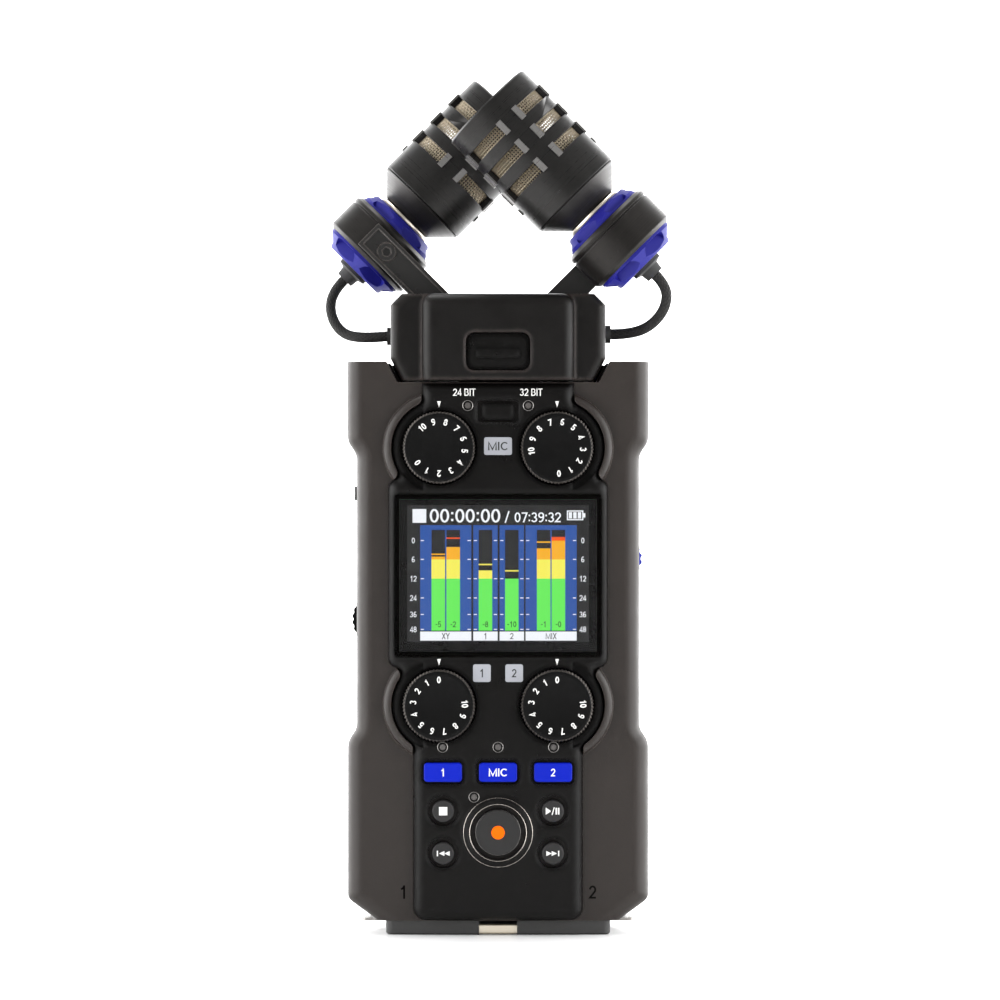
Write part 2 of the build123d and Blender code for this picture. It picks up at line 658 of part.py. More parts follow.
with BuildPart() as audio_jacks:
    for z in JACK_Z:
        block((-34.0, -22.0), around(JACK_Y, 3.2), around(z, 3.4))
        rod((-34.0, JACK_Y, z), (-WAIST_HALF - 0.1, JACK_Y, z), JACK_COLLAR_R)
        rod((-WAIST_HALF - 1, JACK_Y, z), (-23.5, JACK_Y, z), JACK_BORE_R, mode=Mode.SUBTRACT)

with BuildPart() as data_port:
    with BuildSketch(Plane.YZ.offset(USB_START)):
        with Locations((USB_Y, USB_Z)):
            SlotOverall(*USB_SHELL, rotation=90)
    extrude(amount=HIP_HALF - 0.3 - USB_START)
    with BuildSketch(Plane.YZ.offset(USB_FLOOR)):
        with Locations((USB_Y, USB_Z)):
            SlotOverall(*USB_MOUTH, rotation=90)
            Rectangle(*USB_TONGUE, mode=Mode.SUBTRACT)
    extrude(amount=HIP_HALF - USB_FLOOR, mode=Mode.SUBTRACT)

# ---- Foot with its two combination sockets ----

with BuildPart() as foot_panel:
    with BuildSketch():
        with BuildLine():
            Line((FOOT_HALF[0], 0), (FOOT_HALF[0], -FOOT_HALF[1]))
            ThreePointArc(
                (FOOT_HALF[0], -FOOT_HALF[1]),
                (0, -FOOT_HALF[1] - FOOT_BULGE),
                (-FOOT_HALF[0], -FOOT_HALF[1]),
            )
            Line((-FOOT_HALF[0], -FOOT_HALF[1]), (-FOOT_HALF[0], FOOT_HALF[1]))
            Line((-FOOT_HALF[0], FOOT_HALF[1]), (FOOT_HALF[0], FOOT_HALF[1]))
            Line((FOOT_HALF[0], FOOT_HALF[1]), (FOOT_HALF[0], 0))
        make_face()
    extrude(amount=CASE_BOTTOM)
    fillet(foot_panel.edges().filter_by(Axis.Z), 2.0)
    chamfer(foot_panel.faces().sort_by(Axis.Z)[0].edges(), 0.5)
    boss_half = (FOOT_HALF[0] - 1.8, FOOT_HALF[1] - 2.0)
    block(around(0, boss_half[0]), around(0, boss_half[1]), (CASE_BOTTOM, FOOT_TOP))
    with Locations((COMBO_X, 0, 0), (-COMBO_X, 0, 0)):
        Cylinder(COMBO_R + GAP, 3 * FOOT_TOP, mode=Mode.SUBTRACT)
    for side in (-1, 1):
        cut_box(around(side * 27.4, 2.0), around(0, TAB_HALF + 0.3), (1.5, CASE_BOTTOM + 1.2))
        pivot_x, pivot_z = side * TAB_PIVOT[0], TAB_PIVOT[1]
        pin_end = TAB_HALF + 1.5
        pin_hole_r = TAB_PIN_R + RUNNING
        rod((pivot_x, -pin_end, pivot_z), (pivot_x, pin_end, pivot_z), pin_hole_r, mode=Mode.SUBTRACT)
    cut_box(around(0, STRAP_HALF), (-FOOT_HALF[1] - 2, -FOOT_HALF[1] + 6.6), (-1, 5.2))

with BuildPart() as strap_bar:
    block(around(0, STRAP_HALF), (-FOOT_HALF[1] - 0.5, -FOOT_HALF[1] + 1.2), (0.3, 2.7))
    fillet(strap_bar.edges().filter_by(Axis.X), 0.5)

with BuildPart() as combo_sockets:
    for x in (-COMBO_X, COMBO_X):
        rod((x, 0, 0.5), (x, 0, COMBO_TOP), COMBO_R)
        rod((x, 0, 0), (x, 0, XLR_DEPTH), XLR_R, mode=Mode.SUBTRACT)
        rod((x, 0, 1.2), (x, 0, XLR_DEPTH + 1), XLR_CORE_R)
        rod((x, 0, 0), (x, 0, TRS_DEPTH), TRS_R, mode=Mode.SUBTRACT)
        for turn in (90, 210, 330):
            pin_x = x + XLR_PIN_CIRCLE_R * math.cos(math.radians(turn))
            pin_y = XLR_PIN_CIRCLE_R * math.sin(math.radians(turn))
            rod((pin_x, pin_y, 1.0), (pin_x, pin_y, 10), XLR_PIN_R, mode=Mode.SUBTRACT)

for piece, name in (
    (battery_tray, "battery_tray"),
    (battery_cells, "battery_cells"),
    (battery_contacts, "battery_contacts"),
    (battery_door, "battery_door"),
    (card_door, "card_door"),
    (card_socket, "card_socket"),
    (audio_jacks, "audio_jacks"),
    (data_port, "data_port"),
    (foot_panel, "foot_panel"),
    (strap_bar, "strap_bar"),
    (combo_sockets, "combo_sockets"),
):
    save(piece, name)

for side, name in ((-1, "release_tab_1"), (1, "release_tab_2")):
    pivot_x, pivot_z = side * TAB_PIVOT[0], TAB_PIVOT[1]
    with BuildPart() as tab:
        block((pivot_x, side * TAB_TIP), around(0, TAB_HALF), around(pivot_z, TAB_THICK / 2))
        tip_edges = [e for e in tab.edges().filter_by(Axis.Z) if abs(e.center().X) > TAB_TIP - 1]
        fillet(tip_edges, 1.2)
        rod((pivot_x, -TAB_HALF, pivot_z), (pivot_x, TAB_HALF, pivot_z), TAB_KNUCKLE_R)
        pin_end = TAB_HALF + 1.2
        rod((pivot_x, -pin_end, pivot_z), (pivot_x, pin_end, pivot_z), TAB_PIN_R)
    save(tab, name)

# ---- Inside and at the back of the casing ----

with BuildPart() as tripod_bush:
    disc([(0, BUSH_Z)], BUSH_R, CASE_REAR, CASE_REAR - BUSH_DEPTH - 1)
    cut_disc([(0, BUSH_Z)], BUSH_BORE_R, CASE_REAR + 1, CASE_REAR - BUSH_DEPTH)
    mouth = tripod_bush.edges().filter_by(GeomType.CIRCLE).group_by(Axis.Y)[-1].sort_by(SortBy.RADIUS)[0]
    chamfer(mouth, 0.4)

with BuildPart() as speaker:
    disc([(0, SPEAKER_Z)], SPEAKER_R, CASE_REAR - WALL - 0.1, CASE_REAR - WALL - 2.0)
    disc([(0, SPEAKER_Z)], 5.0, CASE_REAR - WALL - 2.0, CASE_REAR - WALL - 4.6)
    cut_disc([(0, SPEAKER_Z)], 6.5, CASE_REAR, CASE_REAR - WALL - 0.8)

with BuildPart() as casing_screws:
    disc(SCREW_PLACES, SCREW_HEAD_R, CASE_REAR - 0.9, CASE_REAR - 2.4)
    disc(SCREW_PLACES, SCREW_R, CASE_REAR - 2.4, 0.05)
    disc(SCREW_PLACES, SCREW_TIP_R, 0.05, -7.5)
    for x, z in SCREW_PLACES:
        cut_box(around(x, 1.5), (CASE_REAR - 1.7, CASE_REAR), around(z, 0.35))
        cut_box(around(x, 0.35), (CASE_REAR - 1.7, CASE_REAR), around(z, 1.5))

with BuildPart() as dock_socket:
    shell_x, shell_y = (around(0, half + 2.4) for half in PLUG_HALF)
    block(shell_x, shell_y, (DOCK_FLOOR - PLUG_DEPTH - 2, DOCK_FLOOR - WALL - GAP))
    hollow_x, hollow_y = (around(0, half + 0.3) for half in PLUG_HALF)
    cut_box(hollow_x, hollow_y, (DOCK_FLOOR - PLUG_DEPTH - 1, DOCK_FLOOR))

# ---- Microphone module body ----


def module_outline(y, inset=0.0):
    """The module's housing seen from the front."""
    low, high = MODULE_Z
    with BuildSketch(front(y)) as outline:
        with BuildLine():
            Polyline(
                (0, low),
                (MODULE_HALF_FLOOR, low),
                (MODULE_HALF, MODULE_KNEE),
                (MODULE_HALF, high - MODULE_CHAMFER),
                (MODULE_HALF - MODULE_CHAMFER, high),
                (0, high),
            )
            mirror(about=Plane.YZ)
        make_face()
        if inset:
            offset(amount=-inset, kind=Kind.INTERSECTION)
    return outline.sketch


def entry(k, x):
    """A point on the axis of a lead's gland in the module, on the side of microphone k."""
    return (k * x, -k * LEAD_ENTRY[0], LEAD_ENTRY[1])


def module_openings():
    """Openings shared by both halves: the plug, the arms and the lead glands."""
    plug_x, plug_y = (around(0, half + 2 * GAP) for half in PLUG_HALF)
    cut_box(plug_x, plug_y, (MODULE_Z[0] - 1, MODULE_Z[0] + WALL + 1))
    for k in (-1, 1):
        foot_x = around(k * ARM_FOOT[0], ARM_FOOT_HALF[0] + GAP)
        foot_y = around(k * ARM_FOOT[1], ARM_FOOT_HALF[1] + GAP)
        cut_box(foot_x, foot_y, (MODULE_Z[1] - WALL - 1, MODULE_Z[1] + 1))
        rod(entry(k, MODULE_HALF - 4), entry(k, MODULE_HALF + 2), ENTRY_GLAND_R + GAP, mode=Mode.SUBTRACT)


with BuildPart() as module_front:
    extrude(module_outline(0), amount=-CASE_FRONT)
    rim = module_front.edges().filter_by_position(Axis.Y, CASE_FRONT, CASE_FRONT)
    fillet([e for e in rim if abs(e.center().X) > MODULE_HALF - 3], 2.2)
    spine_z = (MODULE_Z[0] + 0.1, MODULE_Z[1])
    with BuildSketch(front(CASE_FRONT + 0.5)) as spine:
        with Locations((0, sum(spine_z) / 2)):
            Rectangle(2 * SPINE_HALF, spine_z[1] - spine_z[0])
        fillet([v for v in spine.vertices() if v.Y > MODULE_Z[1] - 1], 3.2)
    extrude(amount=FACE_RAISE + 0.5)
    spine_rim = module_front.edges().filter_by_position(Axis.Y, FACE, FACE)
    fillet([e for e in spine_rim if e.center().Z > MODULE_Z[0] + 1], FACE_EDGE)
    extrude(module_outline(0, WALL), amount=-CASE_FRONT - WALL, mode=Mode.SUBTRACT)
    with BuildSketch(front(FACE + LATCH_DEPTH)):
        with Locations((0, LATCH_Z)):
            RectangleRounded(*LATCH, 2.3)
    extrude(amount=LATCH_DEPTH + 1, mode=Mode.SUBTRACT)
    cut_disc([(0, LATCH_Z)], BUTTON_STEM_R + 0.3, 0, FACE)
    module_openings()

with BuildPart() as module_rear:
    extrude(module_outline(0), amount=-MODULE_REAR)
    rim = module_rear.edges().filter_by_position(Axis.Y, MODULE_REAR, MODULE_REAR)
    fillet([e for e in rim if e.center().Z > MODULE_Z[0] + 1], 2.2)
    extrude(module_outline(0, WALL), amount=-MODULE_REAR + WALL, mode=Mode.SUBTRACT)
    module_openings()

with BuildPart() as module_plug:
    plug_x, plug_y = (around(0, half) for half in PLUG_HALF)
    block(plug_x, plug_y, (MODULE_Z[0] - PLUG_DEPTH, MODULE_Z[0] + WALL + 0.2))
    flange_x, flange_y = (around(0, half + 1.5) for half in PLUG_HALF)
    block(flange_x, flange_y, (MODULE_Z[0] + WALL + GAP, MODULE_Z[0] + 4.5))

with BuildPart() as module_board:
    block(around(0, 22), (-6.8, -5.6), (MODULE_Z[0] + 5, MODULE_Z[1] - 8))
    cut_disc([(0, LATCH_Z)], 3.4, 0, -10)
    block(around(-12, 3.5), (-5.6, -4.2), around(150, 3.5))

with BuildPart() as release_button:
    with BuildSketch(front(BUTTON_REAR)):
        with Locations((0, LATCH_Z)):
            RectangleRounded(LATCH[0] - 0.6, LATCH[1] - 0.6, 2.0)
    extrude(amount=BUTTON_THICK)
    with BuildSketch(front(BUTTON_REAR - BUTTON_THICK + 0.1)):
        with Locations((0, LATCH_Z - 0.5)):
            RectangleRounded(*LATCH_BAR, 0.6)
    extrude(amount=LATCH_BAR_PROUD + 0.1)
    disc([(0, LATCH_Z)], BUTTON_STEM_R, -9.5, BUTTON_REAR)

for piece, name in (
    (tripod_bush, "tripod_bush"),
    (speaker, "speaker"),
    (casing_screws, "casing_screws"),
    (dock_socket, "dock_socket"),
    (module_front, "module_front"),
    (module_rear, "module_rear"),
    (module_plug, "module_plug"),
    (module_board, "module_board"),
    (release_button, "release_button"),
):
    save(piece, name)

# ---- Microphones ----


class Mic:
    """One microphone: s runs from its nose to its tail, u lies across it, out is its own front."""

    def __init__(self, k):
        root = math.sqrt(0.5)
        self.twist = WINDOW_TWIST[k]
        self.origin = Vector(-MIC_X * k, -MIC_Y * k, MIC_Z)
        self.axis_dir = Vector(k * root, 0, -root)
        self.across = Vector(k * root, 0, root)
        self.out = Vector(0, -k, 0)
        self.side = Plane(origin=self.origin, x_dir=self.axis_dir, z_dir=self.out)
        self.axis = Axis(self.origin, self.axis_dir)

    def at(self, s, u=0.0, out=0.0):
        return self.origin + self.axis_dir * s + self.across * u + self.out * out

    def across_plane(self, s):
        """A plane square to the axis, facing the tail."""
        return Plane(origin=self.at(s), x_dir=self.across, z_dir=self.axis_dir)

    def ring(self, s_from, s_to, outer, inner=0.0):
        with BuildSketch(self.across_plane(s_from)) as section:
            Circle(outer)
            if inner:
                Circle(inner, mode=Mode.SUBTRACT)
        extrude(section.sketch, amount=s_to - s_from)

    def turned(self, *profile, mode=Mode.ADD):
        """A solid of revolution from an outline of (s, radius) points."""
        with BuildSketch(self.side) as section:
            with BuildLine():
                Polyline(*profile, close=True)
            make_face()
        revolve(section.sketch, axis=self.axis, mode=mode)

    def radial_plane(self, angle, s, radius):
        """A plane touching a cylinder about the axis, its normal pointing outward at that angle from out."""
        turn = math.radians(angle)
        normal = self.out * math.cos(turn) + self.across * math.sin(turn)
        return Plane(origin=self.at(s) + normal * radius, x_dir=self.axis_dir, z_dir=normal)


MICS = (Mic(1), Mic(-1))
WINDOW_STEP = 360 / WINDOW_COUNT
WINDOW_GAP_HALF = (WINDOW_STEP - WINDOW_ARC) / 2


def barrel(mic):
    """A tube with rows of curved windows and a raised block at both ends of each."""
    with BuildPart() as piece:
        mic.turned(
            (0, BARREL_BORE), (0, BARREL_R - 0.4), (0.4, BARREL_R),
            (BARREL_END - 0.3, BARREL_R), (BARREL_END, BARREL_R - 0.3), (BARREL_END, BARREL_BORE),
        )
        for i in range(WINDOW_COUNT):
            turn = math.radians(i * WINDOW_STEP + mic.twist - WINDOW_GAP_HALF)
            normal = mic.out * math.cos(turn) + mic.across * math.sin(turn)
            section = Plane(origin=mic.origin, x_dir=mic.axis_dir, z_dir=mic.axis_dir.cross(normal))
            with BuildSketch(section):
                with Locations(*[(s, BARREL_R) for s in WINDOWS]):
                    Rectangle(WINDOW_WIDTH, 4)
            revolve(axis=mic.axis, revolution_arc=WINDOW_ARC, mode=Mode.SUBTRACT)
        for i in range(WINDOW_COUNT):
            for end in (-1, 1):
                angle = i * WINDOW_STEP + mic.twist + end * (WINDOW_GAP_HALF - BLOCK_INSET)
                for s in WINDOWS:
                    with BuildSketch(mic.radial_plane(angle, s, BARREL_BORE + 0.15)):
                        Rectangle(BLOCK[1], BLOCK[0])
                    extrude(amount=BARREL_R - BARREL_BORE + BLOCK_PROUD - 0.15)
    return piece


def shock_mount(mic):
    """An elastomer bush through the collar, with a pocketed flange in front and a pocketed cone behind."""
    collar_front, collar_back = COLLAR
    with BuildPart() as piece:
        mic.turned(
            (MOUNT_START, STUB_R + RUNNING), (MOUNT_START, 9.3), (collar_front - 1.0, 11.3),
            (collar_front, 11.3), (collar_front, COLLAR_BORE - RUNNING),
            (collar_back, COLLAR_BORE - RUNNING), (collar_back, 11.5), (collar_back + 0.9, 11.5),
            (MOUNT_END, 8.4), (MOUNT_END, STUB_R + RUNNING),
        )
        for i in range(6):
            turn = 30 + 60 * i
            with BuildSketch(mic.radial_plane(turn, MOUNT_START + 1.4, 9.7)):
                RectangleRounded(*FRONT_POCKET, 1.1)
            extrude(amount=3, mode=Mode.SUBTRACT)
            with BuildSketch(mic.radial_plane(turn, MOUNT_END - 1.7, 8.8)):
                RectangleRounded(*REAR_POCKET, 1.3)
            extrude(amount=4, mode=Mode.SUBTRACT)
    return piece


with BuildPart() as barrels:
    add([barrel(mic).part for mic in MICS])

with BuildPart() as shock_mounts:
    add([shock_mount(mic).part for mic in MICS])

with BuildPart() as mesh_sleeves:
    for mic in MICS:
        mic.ring(2.0, BARREL_END - 5.0, MESH_R, MESH_R - MESH_THICK)

with BuildPart() as nose_grilles:
    for mic in MICS:
        with BuildSketch(mic.across_plane(0.4)):
            Circle(BARREL_BORE - RUNNING)
            Circle(0.7, mode=Mode.SUBTRACT)
            for count, radius in ((6, 2.6), (12, 5.2), (18, 7.8), (24, 10.2)):
                with PolarLocations(radius, count):
                    Circle(0.75, mode=Mode.SUBTRACT)
        extrude(amount=1.0)

with BuildPart() as capsules:
    for mic in MICS:
        mic.turned((2.2, 0), (2.2, 9.0), (3.0, 9.8), (10.5, 9.8), (10.5, 6.0), (18, 6.0), (18, 0))

with BuildPart() as mic_tails:
    for mic in MICS:
        mic.turned(
            (19, 0), (19, 9.5), (BARREL_END - 4.6, 9.5), (BARREL_END - 4.6, BARREL_BORE - RUNNING),
            (BARREL_END + 0.15, BARREL_BORE - RUNNING), (BARREL_END + 0.15, BARREL_R - 0.1),
            (CONE_END, NECK_R), (CONE_END + 0.2, NECK_R - 0.5), (CONE_END + 0.4, NECK_R - 0.5),
            (CONE_END + 0.4, NECK_R), (MOUNT_START, NECK_R),
            (MOUNT_START, STUB_R), (MOUNT_END, STUB_R), (MOUNT_END, 0),
        )

with BuildPart() as collars:
    for mic in MICS:
        low, high = COLLAR
        mic.turned(
            (low, COLLAR_BORE), (low, COLLAR_R - 0.9), (low + 0.9, COLLAR_R), (low + 1.8, COLLAR_R),
            (low + 1.8, COLLAR_R - 0.35), (low + 2.3, COLLAR_R - 0.35), (low + 2.3, COLLAR_R),
            (high - 0.9, COLLAR_R), (high, COLLAR_R - 0.9), (high, COLLAR_BORE),
        )
        screw_at = mic.at(ARM_S, ARM_SCREW_U, -COLLAR_R - 2)
        rod(screw_at, mic.at(ARM_S, ARM_SCREW_U, MIC_SCREW_END + 0.4), MIC_SCREW_R + GAP, mode=Mode.SUBTRACT)

with BuildPart() as arms:
    for mic in MICS:
        rim_width, rim_height = ARM_RIM
        with BuildSketch(mic.side.offset(ARM_BACK)):
            with Locations((ARM_S, ARM_PAST - ARM_LENGTH / 2)):
                Rectangle(ARM_WIDTH, ARM_LENGTH)
        extrude(amount=ARM_FRONT - ARM_BACK)
        with BuildSketch(mic.side.offset(ARM_BACK)):
            with Locations((ARM_S, ARM_PAST - rim_width - ARM_LENGTH / 2)):
                Rectangle(ARM_WIDTH - 2 * rim_width, ARM_LENGTH)
        extrude(amount=rim_height, mode=Mode.SUBTRACT)
        rod(mic.at(COLLAR[0] - 1), mic.at(COLLAR[1] + 1), COLLAR_R + 0.02, mode=Mode.SUBTRACT)
        screw_face = mic.at(ARM_S, ARM_SCREW_U, ARM_BACK - 1)
        rod(screw_face, mic.at(ARM_S, ARM_SCREW_U, ARM_FRONT), MIC_SCREW_R + GAP, mode=Mode.SUBTRACT)
        seat = mic.at(ARM_S, ARM_SCREW_U, ARM_BACK + 2.0)
        rod(screw_face, seat, MIC_SCREW_HEAD_R + GAP, mode=Mode.SUBTRACT)
    cut_box(around(0, 60), around(0, 30), (0, MODULE_Z[1]))
    for k in (-1, 1):
        foot_x = around(k * ARM_FOOT[0], ARM_FOOT_HALF[0])
        foot_y = around(k * ARM_FOOT[1], ARM_FOOT_HALF[1])
        block(foot_x, foot_y, (MODULE_Z[1] - ARM_FOOT_DEPTH, MODULE_Z[1]))

with BuildPart() as module_screws:
    for mic in MICS:
        head = mic.at(ARM_S, ARM_SCREW_U, ARM_BACK + 0.5)
        seat = mic.at(ARM_S, ARM_SCREW_U, ARM_BACK + 2.0)
        rod(head, seat, MIC_SCREW_HEAD_R)
        rod(seat, mic.at(ARM_S, ARM_SCREW_U, MIC_SCREW_END), MIC_SCREW_R)
        with BuildSketch(Plane(origin=head, x_dir=mic.axis_dir, z_dir=mic.out)):
            RegularPolygon(MIC_SCREW_HEX_R, 6)
        extrude(amount=1.0, mode=Mode.SUBTRACT)
        for u in (-1, 1):
            rod(mic.at(25.4, u * BARREL_R), mic.at(25.4, u * (BARREL_R + 0.35)), 1.0)

with BuildPart() as lead_glands:
    for mic in MICS:
        mic.turned(
            (MOUNT_END, 0), (MOUNT_END, 4.3), (MOUNT_END + 0.9, 4.3), (MOUNT_END + 1.4, 2.7),
            (GLAND_END, 2.4), (GLAND_END, 0),
        )
    for k in (-1, 1):
        rod(entry(k, MODULE_HALF - 4.5), entry(k, MODULE_HALF + 0.5), ENTRY_GLAND_R)
        rod(entry(k, MODULE_HALF), entry(k, ENTRY_END), ENTRY_FLANGE_R)


def lead(points, name):
    """A braided lead held at both ends, on straight runs joined by tangent arcs."""
    radii = []
    for before, corner, after in zip(points, points[1:], points[2:]):
        run_in = Vector(*corner) - Vector(*before)
        run_out = Vector(*after) - Vector(*corner)
        turn = math.radians(run_in.get_angle(run_out))
        radii.append(0.45 * min(run_in.length, run_out.length) / math.tan(turn / 2))
    with BuildPart() as piece:
        with BuildLine() as route:
            FilletPolyline(*points, radius=radii)
        start = Plane(origin=points[0], z_dir=Vector(*points[1]) - Vector(*points[0]))
        with BuildSketch(start):
            Circle(LEAD_R)
        sweep()
    length = sum(edge.length for edge in route.edges())
    expected = math.pi * LEAD_R**2 * length
    print(name, "radii", [round(r, 1) for r in radii], "length", round(length, 1))
    print(name, "volume", round(piece.part.volume, 1), "section x length", round(expected, 1))
    save(piece, name)


tail = MICS[0].at(GLAND_END)
lead(
    [
        tuple(tail), (43.3, -13.7, 165.3), (42.9, -12.4, 159.8), (39.0, -9.8, 155.2),
        (33.6, -7.9, 153.4), entry(1, ENTRY_END),
    ],
    "lead_right",
)
tail = MICS[1].at(GLAND_END)
lead(
    [
        tuple(tail), (-43.4, 13.7, 165.2), (-44.0, 12.6, 159.2), (-40.6, 10.5, 153.9),
        (-34.4, 8.0, 152.9), entry(-1, ENTRY_END),
    ],
    "lead_left",
)

for piece, name in (
    (barrels, "barrels"),
    (shock_mounts, "shock_mounts"),
    (mesh_sleeves, "mesh_sleeves"),
    (nose_grilles, "nose_grilles"),
    (capsules, "capsules"),
    (mic_tails, "mic_tails"),
    (collars, "collars"),
    (arms, "arms"),
    (module_screws, "module_screws"),
    (lead_glands, "lead_glands"),
):
    save(piece, name)
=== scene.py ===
"""Looks for the portable field recorder: finishes for every node, and printed, woven and knurled pieces."""

import math

import bmesh
import bpy
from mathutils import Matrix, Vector


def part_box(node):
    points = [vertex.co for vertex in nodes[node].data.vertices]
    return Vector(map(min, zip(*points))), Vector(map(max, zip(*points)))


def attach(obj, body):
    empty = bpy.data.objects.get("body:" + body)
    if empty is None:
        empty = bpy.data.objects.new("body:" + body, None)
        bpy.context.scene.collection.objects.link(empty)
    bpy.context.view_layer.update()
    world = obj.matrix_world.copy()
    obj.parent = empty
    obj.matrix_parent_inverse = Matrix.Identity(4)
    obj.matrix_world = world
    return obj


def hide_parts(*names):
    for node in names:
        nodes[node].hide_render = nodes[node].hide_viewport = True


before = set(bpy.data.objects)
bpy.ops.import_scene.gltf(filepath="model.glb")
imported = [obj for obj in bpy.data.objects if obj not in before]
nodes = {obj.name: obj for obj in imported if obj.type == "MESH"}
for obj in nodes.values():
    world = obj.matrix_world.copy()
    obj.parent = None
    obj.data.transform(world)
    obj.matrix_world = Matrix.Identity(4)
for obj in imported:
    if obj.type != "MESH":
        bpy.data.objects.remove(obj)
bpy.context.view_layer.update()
scene = bpy.context.scene

MM = 0.001
LEAN = math.sqrt(0.5)
MIC_OFFSET = Vector((0.0029, 0.0139, 0.2115))


# ---- Camera ----

CAMERA_HEIGHT = 0.1108
CAMERA_ACROSS = 0.0005
VIEW_WIDTH = 0.2541
VIEW_DISTANCE = 1.2
FACE_PLANE = 0.0212
SENSOR = 36.0

camera_data = bpy.data.cameras.new("camera")
camera_data.sensor_width = SENSOR
camera_data.lens = SENSOR * (VIEW_DISTANCE - FACE_PLANE) / VIEW_WIDTH
camera_data.clip_start = 0.05
camera = bpy.data.objects.new("camera", camera_data)
scene.collection.objects.link(camera)
camera.location = (CAMERA_ACROSS, -VIEW_DISTANCE, CAMERA_HEIGHT)
camera.rotation_euler = (math.radians(90), 0, 0)
scene.camera = camera


# ---- Node helpers ----

def new_material(name):
    """A material with a Principled shader; returns the material, its tree and the shader."""
    material = bpy.data.materials.new(name)
    material.use_nodes = True
    tree = material.node_tree
    return material, tree, tree.nodes["Principled BSDF"]


def add_node(tree, kind, inputs=(), **settings):
    """A new node with its settings; an input is a value or the output that feeds it."""
    node = tree.nodes.new(kind)
    for key, value in settings.items():
        setattr(node, key, value)
    for key, value in dict(inputs).items():
        if hasattr(value, "is_output"):
            tree.links.new(value, node.inputs[key])
        else:
            node.inputs[key].default_value = value
    return node


def place(tree):
    """Object coordinates in metres."""
    return add_node(tree, "ShaderNodeTexCoord").outputs["Object"]


def noise(tree, size, detail=3.0):
    """Noise whose features are about size metres across."""
    inputs = {"Vector": place(tree), "Scale": 1 / size, "Detail": detail}
    return add_node(tree, "ShaderNodeTexNoise", inputs).outputs["Fac"]


def math_node(tree, operation, a, b=0.0):
    return add_node(tree, "ShaderNodeMath", {0: a, 1: b}, operation=operation).outputs[0]


def ramp(tree, factor, low, high):
    """factor from 0 to 1 mapped to a value from low to high."""
    mapped = add_node(tree, "ShaderNodeMapRange", {"Value": factor, "From Min": 0.3, "From Max": 0.7,
                                                   "To Min": low, "To Max": high})
    return mapped.outputs["Result"]


def blend_colours(tree, factor, dark, light):
    """The dark colour where the factor is 0, the light one where it is 1."""
    mix = add_node(tree, "ShaderNodeMix", data_type="RGBA")
    tree.links.new(factor, mix.inputs["Factor"])
    mix.inputs["A"].default_value = (*dark, 1)
    mix.inputs["B"].default_value = (*light, 1)
    return mix.outputs["Result"]


def soft_edges(tree, radius):
    """Normals that turn smoothly over each sharp edge within a radius."""
    return add_node(tree, "ShaderNodeBevel", {"Radius": radius}, samples=4).outputs["Normal"]


def bump(tree, shader, height, distance, normal=None):
    """Relief of a depth in metres, on the mesh's own normal or the one given."""
    relief = add_node(tree, "ShaderNodeBump", {"Height": height, "Distance": distance})
    if normal:
        tree.links.new(normal, relief.inputs["Normal"])
    tree.links.new(relief.outputs["Normal"], shader.inputs["Normal"])


def edge_wear(tree, colour, normal, wear_and_highlight, amount):
    """Lightens the edges, broken up by noise, as wear and as painted highlight: an edge is where the softened
    normal leaves the true one.
    """
    flat = add_node(tree, "ShaderNodeNewGeometry").outputs["Normal"]
    facing = add_node(tree, "ShaderNodeVectorMath", {0: flat, 1: normal}, operation="DOT_PRODUCT")
    edge = add_node(tree, "ShaderNodeMapRange", {"Value": facing.outputs["Value"],
                                                 "From Min": 0.995, "From Max": 0.93,
                                                 "To Min": 0.0, "To Max": amount})
    patchy = math_node(tree, "MULTIPLY", edge.outputs["Result"], noise(tree, 0.003))
    mix = add_node(tree, "ShaderNodeMix", data_type="RGBA")
    tree.links.new(patchy, mix.inputs["Factor"])
    tree.links.new(colour, mix.inputs["A"])
    mix.inputs["B"].default_value = (*wear_and_highlight, 1)
    return mix.outputs["Result"]


def moulded(name, colour, roughness, grain=0.00035, depth=0.00002, spread=0.18, specular=0.5,
            edge=None, wear_and_highlight=None, coat=0.0):
    """Moulded plastic: a fine spark-eroded grain, uneven tone, faint handling marks in the gloss."""
    material, tree, shader = new_material(name)
    dark = [c * (1 - spread) for c in colour]
    light = [c * (1 + spread) for c in colour]
    tone = blend_colours(tree, noise(tree, 0.012), dark, light)
    normal = soft_edges(tree, edge) if edge else None
    # lighter edges where given: wear and painted highlight along them
    if wear_and_highlight:
        tone = edge_wear(tree, tone, normal, wear_and_highlight, 0.9)
    tree.links.new(tone, shader.inputs["Base Color"])
    smears = math_node(tree, "ADD", noise(tree, 0.006), math_node(tree, "MULTIPLY", noise(tree, 0.0009), 0.3))
    tree.links.new(ramp(tree, smears, roughness - 0.07, roughness + 0.07), shader.inputs["Roughness"])
    shader.inputs["Specular IOR Level"].default_value = specular
    shader.inputs["Coat Weight"].default_value = coat
    shader.inputs["Coat Roughness"].default_value = 0.2
    bump(tree, shader, noise(tree, grain, detail=2.0), depth, normal)
    return material


def metal(name, colour, roughness, size=0.0006, depth=0.000004):
    """Plated or machined metal, fine marks of a size in metres in its gloss and relief."""
    material, tree, shader = new_material(name)
    tone = blend_colours(tree, noise(tree, 0.005), [c * 0.85 for c in colour], colour)
    tree.links.new(tone, shader.inputs["Base Color"])
    shader.inputs["Metallic"].default_value = 1.0
    marks = noise(tree, size, detail=4.0)
    tree.links.new(ramp(tree, marks, roughness - 0.08, roughness + 0.08), shader.inputs["Roughness"])
    bump(tree, shader, marks, depth)
    return material


